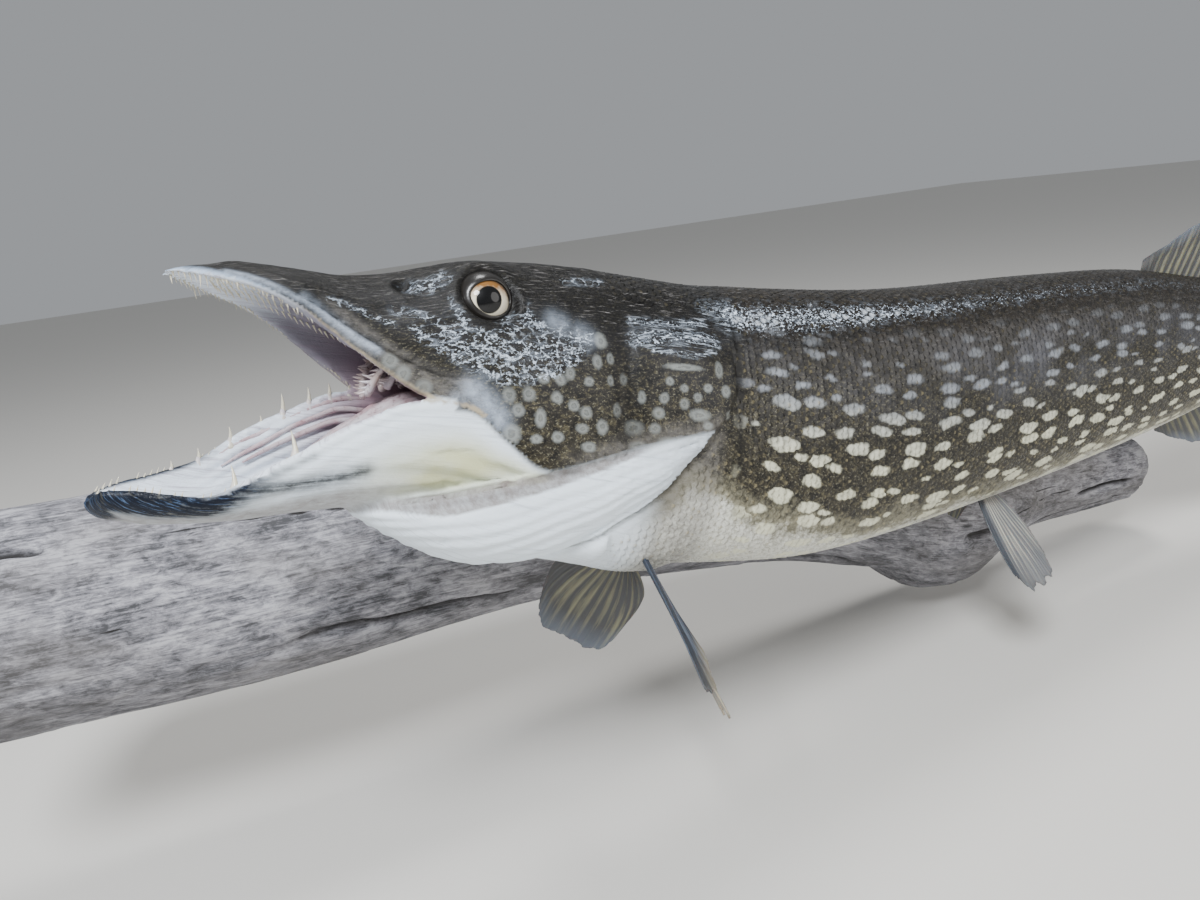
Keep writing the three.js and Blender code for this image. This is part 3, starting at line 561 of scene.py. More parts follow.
def sculpt(s, b, c, normal, points):
    """How far each point of the skin moves out, in millimetres."""
    across = np.abs(b)
    head = ramp(s, 262, 246)
    side = normal[:, 1] * np.sign(b) > 0.1
    move = -0.7 * ramp(s, 176, 200) * (
        1 - ramp(s, 262, 247) * (across > 30) * ramp(c, -28, -16) * ramp(c, 52, 44))
    # eye sockets, with a raised rim below and an overhanging brow
    r = np.hypot((s - EYE_AT[0]) / 1.12, c - EYE_AT[2] - 0.5)
    outer = across > 14
    move += outer * (-3.8 * ramp(r, 12.4, 9.4) + 0.8 * bell(r - 13.8, 1.8))
    move += outer * 2.4 * bell(c - 56.5, 3.0) * bell(s - 122, 15)
    # one oval nostril on each side, with a raised rim
    r = from_nostril(s, across)
    move += (normal[:, 2] > 0.1) * (c > 30) * (-3.2 * bell(r, 2.2) + 0.8 * bell(r - 4.0, 1.1))
    # ridges along the snout and the crown
    snout = ramp(s, 10, 26) * ramp(s, 128, 104) * (normal[:, 2] > 0)
    move += snout * (1.0 * bell(across - 8 - 0.03 * s, 2.8) - 1.1 * bell(b, 4.2))
    crown = ramp(s, 100, 120) * ramp(s, 196, 178) * (c > 40)
    move += crown * (0.8 * bell(across - 17, 4) - 0.7 * bell(b, 7))
    # groove above the lip, and the plate of the upper jaw
    edge = curve(s, LIP_EDGE)
    rise = c - edge
    move += side * ramp(s, 8, 18) * ramp(s, 60, 46) * (-0.8 * bell(rise - 5 - 0.035 * s, 1.5))
    plate = ramp(s, 40, 56) * ramp(s, 117, 111)
    top = 5 + 0.1 * (s - 42)
    move += side * plate * (0.8 * ramp(rise, top, top - 2.5) * ramp(rise, -1, 1.5)
                            - 1.1 * bell(rise - top - 0.6, 1.4))
    # shallow valley and upright folds in front of the gill cover
    flat = side * (across > 24)
    band = ramp(c, -26, -14) * ramp(c, 46, 30)
    folds = noise(np.stack([s * 4.2, c, 0 * s], -1), 14, 3)
    move += flat * band * (-1.3 * bell(s - valley_at(c), 6) + 0.5 * folds * bell(s - 184, 13))
    # folds along the upper part of the gill cover
    folds = noise(np.stack([s, c * 4.6, 0 * s], -1), 18, 6)
    move += flat * ramp(s, 188, 200) * ramp(s, 247, 238) * bell(c - 33, 11) * (0.9 - 1.9 * np.abs(folds))
    move += flat * ramp(s, 192, 204) * ramp(s, 246, 240) * 0.6 * layered(points, 13, 8, 2)
    move += flat * -0.9 * bell(s - 249, 1.8) * ramp(c, -14, -6) * ramp(c, 48, 40)
    folds = layered(points, 7, 5, 2)
    move += flat * head * bell(s - 135, 36) * bell(c - 18, 16) * (0.35 - 1.0 * np.abs(folds))
    # gill membrane: a ridge over each ray and a free edge
    depth = (curve(s, BIB_TOP) - c) / (curve(s, BIB_TOP) - curve(s, BIB_EDGE))
    bib = on_bib(s, c) * (across > 3)
    ray = depth * 7 + 0.35 * np.sin(s / 24) + 0.2 * noise(points, 20, 7)
    move += bib * 0.4 * np.cos(2 * math.pi * ray)
    move += bib * ramp(s, 130, 150) * 0.9 * ramp(depth, 0.7, 0.95)
    below = c - curve(s, BIB_EDGE)
    move += -1.1 * bell(below + 2.6, 2.2) * ramp(s, 130, 150) * ramp(s, 236, 228) * (across > 6)
    strip = strip_of(s, c) * (c < curve(s, BIB_TOP) + 0.5) * (across > 6)
    line = c - curve(s, BIB_TOP) + curve(s, STRIP_DEPTH)
    move += strip * -1.6 + 0.8 * bib * bell(line + 2.2, 1.6) * ramp(s, 206, 176)
    # lower jaw: lip groove, pores and the fold at the corner of the mouth
    rim = np.where(b < 0, curve(s, RIM_LEFT), curve(s, RIM_RIGHT))
    jaw = ramp(s, 140, 126) * (c < rim) * (c < edge - 2)
    move += jaw * side * (-0.7 * bell(rim - c - 4.6, 1.4) - 0.5 * bell(rim - c - 12, 1.8)) * ramp(s, 20, 36)
    for at in (6, 28, 52, 78, 104):
        r = np.hypot(s - at, across - 0.62 * curve(s, JAW_WIDTH))
        move += jaw * -1.3 * bell(r, 1.6) * (normal[:, 2] < 0)
    # folds in the mouth and slow unevenness everywhere
    inside = (s < 176) * (across < curve(s, LIP_WIDTH) - 3) * (c < curve(s, PALATE) + 2) * (
        c > curve(s, JAW_FLOOR) - 2)
    wander = 0.8 * noise(points, 14, 9)
    move += inside * 0.8 * np.cos(b * 0.9 + wander) * ramp(s, 10, 40)
    wall = (c < rim + 1) * (c > curve(s, JAW_FLOOR)) * (s < 130) * (normal[:, 1] * np.sign(b) < 0.2)
    move += wall * ramp(s, 10, 30) * (0.9 * np.cos((rim - c) * 1.15 + 1.4 * wander) + 0.5)
    move += 0.45 * layered(points, 26, 1) * head + 0.15 * layered(points, 5, 2, 2) * head
    return move


# --- fins ---------------------------------------------------------------------------------------
PAIRED_REACH = [(0, 0.93), (0.3, 1), (0.7, 0.9), (1, 0.62)]
PECTORAL = {"root": (212, 15.5, -75), "spread": (0.66, -0.63, -0.4), "width": 17, "fan": (-10, 34)}
PELVIC = {"root": (483, 16, -72), "ray": (-2, 45, -60), "width": 14, "length": 78, "fan": (-8, 30)}
PAIRED_FINS = {
    "pectoral_fin_left": {**PECTORAL, "side": -1, "ray": (8, 50, -65), "length": 92},
    "pectoral_fin_right": {**PECTORAL, "side": 1, "ray": (-10, 68, -46), "length": 80},
    "pelvic_fin_left": {**PELVIC, "side": -1, "spread": (0.95, 0.1, -0.25)},
    "pelvic_fin_right": {**PELVIC, "side": 1, "spread": (0.8, -0.45, -0.35)},
}
MEDIAN_FINS = {
    "dorsal_fin": {"from": 664, "to": 792, "up": 1, "edge": BACK,
                   "lengths": [(0, 9), (0.25, 40), (0.5, 73), (0.75, 92), (1, 84)],
                   "angles": [(0, 60), (0.5, 47), (1, 34)]},
    "anal_fin": {"from": 692, "to": 792, "up": -1, "edge": BELLY,
                 "lengths": [(0, 9), (0.25, 38), (0.5, 66), (0.75, 84), (1, 74)],
                 "angles": [(0, 62), (0.5, 48), (1, 34)]},
}
TAIL = {"from": 866, "half": 27, "spread": 44,
        "lengths": [(0, 104), (0.25, 84), (0.5, 60), (0.75, 84), (1, 104)]}


def unit(vector):
    return vector / np.linalg.norm(vector)


def paired_lines(side, root, ray, spread, width, length, fan):
    """Root line, ray ends and face direction of a paired fin, as functions of t across it."""
    _, along, right, up = frames(np.array(float(round(root[0] / SPINE_STEP) * SPINE_STEP)))
    main, across = (unit(v[0] * along + side * v[1] * right + v[2] * up) for v in (ray, spread))
    across = unit(across - main * (across @ main))
    centre = place(root[0], side * root[1], root[2])

    def start(t):
        return centre + across * ((t - 0.4) * width)[:, None] - main * 7

    def end(t):
        angle = np.radians(fan[0] + (fan[1] - fan[0]) * t)[:, None]
        reach = (length * curve(t, PAIRED_REACH))[:, None]
        return start(t) + main * 2 + main * reach * np.cos(angle) + across * reach * np.sin(angle)

    return start, end, unit(np.cross(main, across))


def median_lines(fin):
    """The same for a fin on the middle line of the back or the belly."""
    low, high, up = fin["from"], fin["to"], fin["up"]

    def start(t):
        s = low + (high - low) * t
        return place(s, 0, curve(s, fin["edge"]) - up * 7)

    def end(t):
        s = low + (high - low) * t
        reach, angle = curve(t, fin["lengths"]), np.radians(curve(t, fin["angles"]))
        return place(s + reach * np.cos(angle), 0, curve(s, fin["edge"]) + up * reach * np.sin(angle))

    return start, end, frames(np.array((low + high) / 2))[2]


def tail_lines():
    """The same for the tail fin, from its upper edge to its lower one."""
    def start(t):
        return place(TAIL["from"] - 3, 0, TAIL["half"] * (1 - 2 * t))

    def end(t):
        angle, reach = np.radians(TAIL["spread"] * (1 - 2 * t)), curve(t, TAIL["lengths"])
        return place(TAIL["from"] + 8 + reach * np.cos(angle) * 0.98, 0,
                     TAIL["half"] * (1 - 2 * t) + reach * np.sin(angle))

    return start, end, frames(np.array(915.0))[2]


def fin_piece(name, lines, rays, base, rim, fray, wave, seed, twist=0.0, bow=0.0):
    """Fin with a ridge over every ray, waves between them, a slow twist and a frayed edge.

    The bow bends the outer rays outward and rounds the corners, as in a spread breast fin.
    """
    start, end, normal = lines
    per_ray, rows = 8, 34
    t = np.linspace(0, 1, rays * per_ray + 1)
    v = np.linspace(0, 1, rows) ** 0.92
    rough = noise(np.stack([t * rays * 1.1, 0 * t, 0 * t], -1), 1.0, seed)
    fine = noise(np.stack([t * rays * 4.1, 0 * t, 0 * t + 9], -1), 1.0, seed)
    reach = 1 - fray * (0.5 + 0.5 * rough) - 0.4 * fray * (0.5 + 0.5 * fine)
    reach = reach - 2.4 * bow * np.abs(2 * t - 1) ** 4
    root, tip = start(t), end(t)
    length = np.linalg.norm(tip - root, axis=1)
    ray = 0.5 + 0.5 * np.cos(2 * math.pi * t * rays)
    twin = 0.5 + 0.5 * np.cos(4 * math.pi * t * rays)
    grid = root[None] + (tip - root)[None] * (v[:, None] * reach[None])[..., None]
    bend = np.sin(math.pi * v)[:, None] * (bow * length * (2 * t - 1))[None]
    grid = grid + unit(tip[-1] - tip[0]) * bend[..., None]
    lift = wave * np.sin(t * 9 + seed)[None] * v[:, None] ** 1.6
    lift = lift + wave * 0.6 * noise(np.stack(np.broadcast_arrays(t[None] * rays * 0.6,
                                     v[:, None] * 2.5, 0.0), -1), 1.0, seed + 3) * v[:, None]
    middle = grid[:, len(t) // 2]
    off = np.linalg.norm(grid - middle[:, None], axis=-1) * np.sign(t - t[len(t) // 2])[None]
    lift = lift + off * math.tan(math.radians(twist)) * v[:, None]
    ridge = ray[None] ** 2 * (1 - v[:, None]) + twin[None] ** 2 * v[:, None]
    half = (base + (rim - base) * v[:, None] ** 0.6) / 2 * (0.55 + 0.45 * ridge)
    half = np.maximum(half + 0.22 * ridge * (1 - 0.5 * v[:, None]), 0.28)
    taper = ramp(np.minimum(t, 1 - t)[None] * rays, -0.3, 0.6)
    half = np.maximum(half * taper, 0.28)
    front = grid + normal * (lift + half)[..., None]
    rear = grid + normal * (lift - half)[..., None]
    rings = np.concatenate([front, rear[::-1]], 0).transpose(1, 0, 2)
    points, quads = closed_loft(rings)
    across = np.broadcast_to(t[None], half.shape)
    down = np.broadcast_to(v[:, None], half.shape)
    one = np.stack([across * rays, down, np.broadcast_to(length / 100, half.shape)], -1)
    ray_map = np.concatenate([one, one[::-1]], 0).transpose(1, 0, 2)
    return make_mesh(name, points, quads, {"Ray": ray_map.reshape(-1, 3)})


# --- driftwood ----------------------------------------------------------------------------------
LOG_ENDS = (-470, 472)
LOG_HEIGHT = [(-470, 33), (-350, 27), (-150, 18), (-20, 8), (80, -8), (160, -38), (230, -58),
              (300, -66), (380, -74), (472, -82)]
LOG_DEPTH = [(-470, -46), (-350, -46), (0, -44), (160, -44), (300, -42), (472, -36)]
LOG_RADIUS = [(-470, 50), (-440, 58), (-350, 62), (-200, 62), (-100, 60), (0, 55), (120, 55),
              (200, 56), (290, 47), (330, 37), (400, 35), (472, 32)]
STUB = {"along": 226, "spread": 46, "reach": 20}
CRACKS = [(-300, 0.9, 150, 2.6), (-90, 2.6, 120, 2.2), (60, 2.2, 170, 2.4), (190, 2.85, 90, 3.4),
          (-380, 2.3, 90, 2.4), (300, 2.4, 110, 2.2), (-180, 3.6, 160, 2.4), (120, 4.1, 120, 2.0),
          (250, 3.4, 70, 3.0), (-20, 3.2, 110, 1.8), (-420, 3.1, 80, 2.6), (400, 3.3, 90, 2.2)]


THIN_CHECKS = 46


def driftwood_points(rows, count):
    """Rings of the log from end to end, and two masks: wide splits, and distance to thin checks."""
    t = np.linspace(0, 1, rows)[:, None]
    t = t - 0.018 * np.sin(2 * math.pi * t)
    x = LOG_ENDS[0] + (LOG_ENDS[1] - LOG_ENDS[0]) * np.clip(t, 0, 1)
    turn = np.linspace(0, 2 * math.pi, count, endpoint=False)[None]
    ends = [np.sqrt(1 - np.maximum(0, 1 - u / size) ** 2) + 0.12
            for u, size in ((t, 0.06), (1 - t, 0.045))]
    rounded = np.minimum(1, np.minimum(*ends))
    radius = curve(x, LOG_RADIUS) * rounded
    down = np.maximum(0, -np.sin(turn)) ** 3
    stub = STUB["reach"] * down * np.exp(-(((x - STUB["along"]) / STUB["spread"]) ** 4))
    lumps = 1 + 0.035 * np.sin(3 * turn + x / 70) + 0.025 * np.sin(2 * turn - x / 41)
    reach = radius * lumps + stub
    grain = np.stack(np.broadcast_arrays(x / 9, reach * np.cos(turn), reach * np.sin(turn)), -1)
    deep = -0.5 + 0.9 * layered(grain, 5.5, 11) + 1.4 * noise(grain / np.array([1.6, 1, 1]), 19, 12)
    ridge = np.abs(noise(grain, 4.2, 14))
    deep = deep - 1.3 * np.maximum(0, 0.22 - ridge) / 0.22
    round_log = reach

    def away(angle):
        """Distance round the log from the line at an angle."""
        return np.abs((turn - angle + math.pi) % (2 * math.pi) - math.pi) * round_log

    cracks = np.zeros_like(reach)
    for at, angle, length, width in CRACKS:
        off = away(angle + 0.05 * np.sin(x / 31 + angle * 5) + 0.025 * np.sin(x / 11))
        cracks = np.maximum(cracks, bell(off, width) * ramp(np.abs(x - at), length / 2, length / 4))
    deep = deep - 6.5 * cracks
    # thin checks: distance to the nearest of many long lines that follow the grain
    rng = np.random.default_rng(5)
    thin = np.full(reach.shape, 8.0)
    draws = [rng.uniform(low, high, THIN_CHECKS)
             for low, high in ((-470, 470), (0, 2 * math.pi), (40, 330), (0.4, 1))]
    for at, angle, length in zip(draws[0], draws[1], draws[2] * draws[3]):
        off = away(angle + 0.05 * np.sin(x / 53 + angle * 7) + 0.02 * np.sin(x / 17 + angle * 3))
        thin = np.minimum(thin, off + 8 * ramp(np.abs(x - at), length * 0.35, length * 0.5))
    # one knot hole on the near side
    hole = bell(np.hypot(x - 262, (turn - 2.72) * reach), 3.0)
    reach = reach + np.minimum(deep, 0.8) * ramp(rounded, 0.1, 0.5) - 5 * hole
    y = curve(x, LOG_DEPTH) + reach * np.cos(turn)
    y = np.minimum(y, 0)
    z = curve(x, LOG_HEIGHT) + reach * np.sin(turn)
    rings = np.stack(np.broadcast_arrays(x, y, z), -1)
    split = np.broadcast_to(np.maximum(cracks, hole), reach.shape)
    return rings, np.stack([split, thin, 0 * thin], -1)


# --- materials ----------------------------------------------------------------------------------
def node(tree, kind, *inputs, stops=(), **settings):
    """Add a shader node with its settings, and the stops of its colour ramp, and give its outputs.

    The inputs are constants or other nodes' outputs, for the open sockets in order or in a dict by name.
    """
    made = tree.nodes.new("ShaderNode" + kind)
    for key, value in settings.items():
        setattr(made, key, value)
    elements = made.color_ramp.elements if stops else ()
    while len(elements) < len(stops):
        elements.new(0.5)
    for element, (at, colour) in zip(elements, stops):
        element.position, element.color = at, (*colour, 1)[:4]
    named = bool(inputs) and isinstance(inputs[0], dict)
    for key, value in inputs[0].items() if named else enumerate(inputs):
        socket = made.inputs[key] if named else [socket for socket in made.inputs if socket.enabled][key]
        if isinstance(value, bpy.types.bpy_prop_collection):
            value = next(output for output in value if output.enabled)
        if isinstance(value, bpy.types.NodeSocket):
            tree.links.new(value, socket)
        else:
            socket.default_value = (*value, 1)[:4] if socket.type == "RGBA" else value
    return made.outputs


def new_material(name):
    """Empty material, and the function that adds nodes to it."""
    material = bpy.data.materials.new(name)
    material.use_nodes = True
    material.node_tree.nodes.clear()
    return material, partial(node, material.node_tree)


def surface(add, links):
    """The shader and output of a material."""
    add("OutputMaterial", {"Surface": add("BsdfPrincipled", links)})


def painted(add, colour, *layers):
    """Lay paints over a colour, each where its two masks overlap."""
    for one, two, paint in layers:
        mask = add("Math", one, two, operation="MULTIPLY")
        colour = add("Mix", mask, colour, paint, data_type="RGBA")
    return colour


def fish_markings(add, sizes):
    """Colour and relief that the skin and the scales share, from the body coordinates in millimetres."""
    body, tone, mark, tint, haze = (add("SeparateXYZ", add("Attribute", attribute_name=name)["Vector"])
                                    for name in ("Body", "Tone", "Mark", "Tint", "Haze"))
    along, level = body["X"], body["Z"]
    flat = add("CombineXYZ", along, body["Y"])

    # length and height of the features in millimetres, then detail, roughness and distortion: slow
    # unevenness, mottling, specks, foil, streaks and lines along the fish, and the web of the cheek
    cloud, mottle, speck, foil, streaks, lines, web = (
        add("TexNoise", {"Vector": add("VectorMath", flat, (1 / long_, 1 / tall, 1), operation="MULTIPLY"),
                         "Scale": 1.0, "Detail": detail, "Roughness": rough, "Distortion": distortion})
        for long_, tall, detail, rough, distortion in (
            (40, 40, 4.0, 0.5, 0.0), (5, 4, 6.0, 0.74, 0.0), (1.5, 1.1, 3.0, 0.6, 0.0),
            (2.6, 1.9, 4.0, 0.7, 0.8), (9, 0.9, 6.0, 0.72, 0.6), (30, 1.6, 5.0, 0.62, 0.5),
            (8.0, 4.2, 5.0, 0.66, 1.2)))
    # three of them again, swinging about zero
    clouded, mottled, foiled = (add("Math", value, 0.5, operation="SUBTRACT")
                                for value in (cloud, mottle, foil))

    # from the cream belly up to the dark back, with a wandering edge
    height = add("Math", mottled, 0.26, add("Math", clouded, 0.35, level, operation="MULTIPLY_ADD"),
                 operation="MULTIPLY_ADD")
    colour = add("ValToRGB", add("MapRange", height, -1.0, 1.0), stops=(
        (0.0, sizes.belly), (0.055, sizes.belly), (0.1, sizes.low_flank), (0.19, sizes.flank),
        (0.6, sizes.upper_flank), (0.86, sizes.back), (1.0, sizes.back)))
    # head tint, specks, mottling, fibrous grey streaks over head and back, and the jaw's plate
    high = add("Math", add("MapRange", level, 0.3, 0.6), add("MapRange", along, 300.0, 252.0, 0.4, 0.85),
               operation="MULTIPLY")
    colour = painted(
        add, colour,
        (add("MapRange", along, 262.0, 250.0), add("MapRange", level, 0.25, 0.5, 0.0, 0.8), sizes.head),
        (add("MapRange", foil, 0.5, 0.62, 0.0, 0.5), add("MapRange", level, 0.5, 0.1, 0.12, 1.0),
         sizes.speck),
        (add("MapRange", mottle, 0.44, 0.62, 0.0, 0.95), add("MapRange", level, -0.95, -0.6, 0.08, 1.0),
         sizes.dark),
        (add("MapRange", speck, 0.56, 0.7), add("MapRange", level, 0.6, 0.1, 0.1, 0.65), sizes.low_flank),
        (high, add("MapRange", streaks, 0.57, 0.67), sizes.streaks),
        (haze["Z"], add("MapRange", mottle, 0.62, 0.4, 0.25, 0.85), sizes.plate))

    # pale bean-shaped spots of the flank, of many sizes
    bend = add("TexNoise", {"Vector": flat, "Scale": 1 / 13, "Detail": 3.0})["Color"]
    bent = add("VectorMath", add("VectorMath", bend, (0.5, 0.5, 0.5), operation="SUBTRACT"),
               (14.0, 7.0, 0.0), flat, operation="MULTIPLY_ADD")
    bent = add("VectorMath", bent, (1 / sizes.spot_step[0], 1 / sizes.spot_step[1], 1),
               operation="MULTIPLY")
    cells = add("TexVoronoi", {"Vector": bent, "Scale": 1.0, "Randomness": 0.78}, feature="F1",
                voronoi_dimensions="2D")
    chance = add("SeparateColor", cells["Color"])
    ragged = add("Math", mottled, -0.3, cells["Distance"], operation="MULTIPLY_ADD")
    spot = add("Math", add("MapRange", chance[0], 0.0, 1.0, 0.17, 0.39), ragged, operation="SUBTRACT")
    spot = add("MapRange", spot, -0.03, add("MapRange", level, -0.2, 0.4, 0.08, 0.2),
               interpolation_type="SMOOTHSTEP")
    where = add("Math", add("MapRange", along, 244.0, 262.0), add("MapRange", level, 0.72, 0.4),
                operation="MULTIPLY")
    # the high spots are bluish and faint, the low ones cream and crisp
    for share in (where, add("MapRange", mottle, 0.72, 0.42, 0.45, 1.0),
                  add("MapRange", level, 0.5, -0.1, 0.62, 1.0)):
        spot = add("Math", spot, share, operation="MULTIPLY")
    spot_paint = add("Mix", add("MapRange", level, -0.35, 0.15), sizes.spot, sizes.spot_high,
                     data_type="RGBA")
    # mauve-grey veil between them on the upper flank
    veil = add("Math", add("MapRange", level, -0.15, 0.15), add("MapRange", level, 0.66, 0.4),
               operation="MULTIPLY")
    veil = add("Math", add("MapRange", cloud, 0.38, 0.62, 0.0, 0.42), veil, operation="MULTIPLY")
    colour = painted(add, colour, (veil, add("MapRange", along, 330.0, 430.0, 0.25, 1.0), sizes.veil))
    colour = add("Mix", spot, colour, spot_paint, data_type="RGBA")

    # round spots of the cheek, some with a darker ring inside
    field = add("Math", mottled, 0.75, mark["X"], operation="MULTIPLY_ADD")
    shades = ((0.2, 0.0), (0.5, 0.7), (0.64, 0.95), (0.76, 0.5), (0.9, 0.75))
    ringed = add("ValToRGB", field, stops=[(at, (value,) * 3) for at, value in shades])
    ringed = add("Math", ringed, add("MapRange", cloud, 0.35, 0.6, 0.5, 0.95), operation="MULTIPLY")
    colour = painted(add, colour, (ringed, add("MapRange", along, 246.0, 262.0, 1.0, 0.0), sizes.ring))

    # bluish-white skin of throat and jaw, with faint lines
    pale = add("Mix", add("MapRange", lines, 0.54, 0.72, 0.0, 0.5), sizes.white, sizes.white_line,
               data_type="RGBA")
    # yellow-green tint on the jaw's rear, and painted shade in grey-beige over the sunken throat band and
    # under the jaw
    pale = painted(add, pale,
                   (tint["Z"], add("MapRange", cloud, 0.3, 0.6, 0.35, 1.0), sizes.jaw_tint),
                   (haze["Y"], add("MapRange", mottle, 0.3, 0.6, 0.6, 0.95), sizes.strip))
    behind = add("Math", mottled, 24.0, along, operation="MULTIPLY_ADD")
    pale = add("Mix", add("MapRange", behind, 176.0, 226.0, 0.0, 0.35), pale, sizes.white_line,
               data_type="RGBA")
    colour = add("Mix", tone["X"], colour, pale, data_type="RGBA")

    # painted highlights: crumpled bluish-white threads on the dark cheek, 0.5 to 2 mm wide
    torn = add("TexNoise", {"Vector": flat, "Scale": 1 / 6, "Detail": 4.0, "Roughness": 0.7})["Color"]
    torn = add("VectorMath", torn, (13.0, 9.0, 0.0), flat, operation="MULTIPLY_ADD")
    torn = add("VectorMath", torn, (1 / 7.5, 1 / 5.0, 1), operation="MULTIPLY")
    net = add("TexVoronoi", {"Vector": torn, "Scale": 1.0}, feature="DISTANCE_TO_EDGE",
              voronoi_dimensions="2D")["Distance"]
    thread = add("MapRange", add("Math", foiled, -0.35, net, operation="MULTIPLY_ADD"), 0.075, 0.015)
    for share in (add("MapRange", cloud, 0.35, 0.6, 0.5, 1.0), add("MapRange", along, 194.0, 186.0)):
        thread = add("Math", thread, share, operation="MULTIPLY")
    # on the gill cover the threads run lengthwise, and behind it only flakes are left, painted glints in the
    # band along the upper side
    on_cover = add("Math", add("MapRange", along, 186.0, 194.0), add("MapRange", along, 256.0, 248.0),
                   operation="MULTIPLY")
    fold = add("Math", add("MapRange", streaks, 0.53, 0.6), on_cover, operation="MULTIPLY")
    thread = add("Math", thread, fold, operation="MAXIMUM")
    grain = add("Math", foil, 0.5, add("Math", speck, 0.5, operation="MULTIPLY"),
                operation="MULTIPLY_ADD")
    glint_flake = add("Math", tone["Z"], add("MapRange", along, 238.0, 252.0, 0.085, 0.125), grain,
                operation="MULTIPLY_ADD")
    crease_shade_and_glint = add("Math", thread, add("MapRange", glint_flake, 0.615, 0.655), operation="MAXIMUM")
    crease_shade_and_glint = add("Math", crease_shade_and_glint, add("MapRange", tone["Z"], 0.15, 0.6), operation="MULTIPLY")
    # painted bluish sheen along the haze lines and under the web, then the painted highlights of the threads
    # and flakes
    colour = painted(add, colour,
                     (haze["X"], add("MapRange", mottle, 0.65, 0.4, 0.45, 0.95), sizes.haze),
                     (tone["Z"], add("MapRange", web, 0.5, 0.66, 0.0, 0.4), sizes.haze),
                     (crease_shade_and_glint, 0.92, sizes.glint))

    # lip band, dark streak, blue-black jaw tip and the painted shade of the creases, each with a broken edge
    lip = add("Mix", add("MapRange", along, 30.0, 52.0), sizes.lip, sizes.lip_rear, data_type="RGBA")
    broken = add("Math", lines, mottled, operation="ADD")
    for mask, share, paint in ((mark["Y"], 0.9, lip), (tint["Y"], 0.95, sizes.streak),
                               (tint["X"], 1.25, sizes.jaw_tip), (mark["Z"], 0.9, sizes.dark)):
        patchy = add("Math", mask, add("MapRange", broken, 0.25, 0.6, 0.6 * share, share),
                     operation="MULTIPLY")
        patchy = add("Math", patchy, 1.0, operation="MINIMUM")
        colour = add("Mix", patchy, colour, paint, data_type="RGBA")
    # painted highlight: steel-blue glint lines on the jaw tip
    colour = painted(add, colour,
                     (tint["X"], add("MapRange", streaks, 0.55, 0.68, 0.0, 0.7), sizes.jaw_shine))

    # inside the mouth: whitish in front and mauve towards the throat, with painted shade on the roof of the
    # mouth and darkening deep in the mouth to the near-black of the gullet
    lining = add("ValToRGB", add("MapRange", along, -20.0, 180.0), stops=(
        (0.0, sizes.mouth_front), (0.34, sizes.mouth_front), (0.52, sizes.mouth_middle),
        (0.68, sizes.mouth_back), (0.86, sizes.throat)))
    roof = add("Math", add("MapRange", level, 0.1, 0.3), add("MapRange", along, 20.0, 50.0),
               operation="MULTIPLY")
    lining = painted(add, lining, (roof, add("MapRange", along, 150.0, 120.0, 0.0, 0.8), sizes.palate))
    lining = add("Mix", add("MapRange", lines, 0.5, 0.66, 0.0, 0.65), lining, sizes.mouth_fold,
                 data_type="RGBA")
    colour = add("Mix", tone["Y"], colour, lining, data_type="RGBA")

    relief = add("Math", add("Math", streaks, high, operation="MULTIPLY"), 0.6, operation="MULTIPLY")
    for layer, share in ((lines, 0.5), (speck, 0.3), (mottle, 0.5), (crease_shade_and_glint, 0.9)):
        relief = add("Math", layer, share, relief, operation="MULTIPLY_ADD")
    return {"colour": colour, "relief": relief, "mottle": mottle, "spot": spot, "level": level,
            "web": tone["Z"], "cloud": cloud, "speck": speck, "pale": tone["X"]}


def skin_material(sizes):
    """Varnished fish skin: taxidermy lacquer over dried skin gives sharp highlights on dark brown."""
    material, add = new_material("lacquered_fish_skin")
    shared = fish_markings(add, sizes)
    rough = add("Math", add("MapRange", shared["mottle"], 0.3, 0.75, 0.28, 0.55),
                add("MapRange", shared["pale"], 0.0, 1.0, 0.0, 0.5), operation="MAXIMUM")
    bump = add("Bump", {"Height": shared["relief"], "Strength": 0.7, "Distance": 0.0008})
    surface(add, {"Base Color": shared["colour"], "Roughness": rough, "Normal": bump,
                  "Specular IOR Level": 0.2, "Coat Weight": 0.08, "Coat Roughness": 0.12,
                  "Coat Normal": bump})
    return material


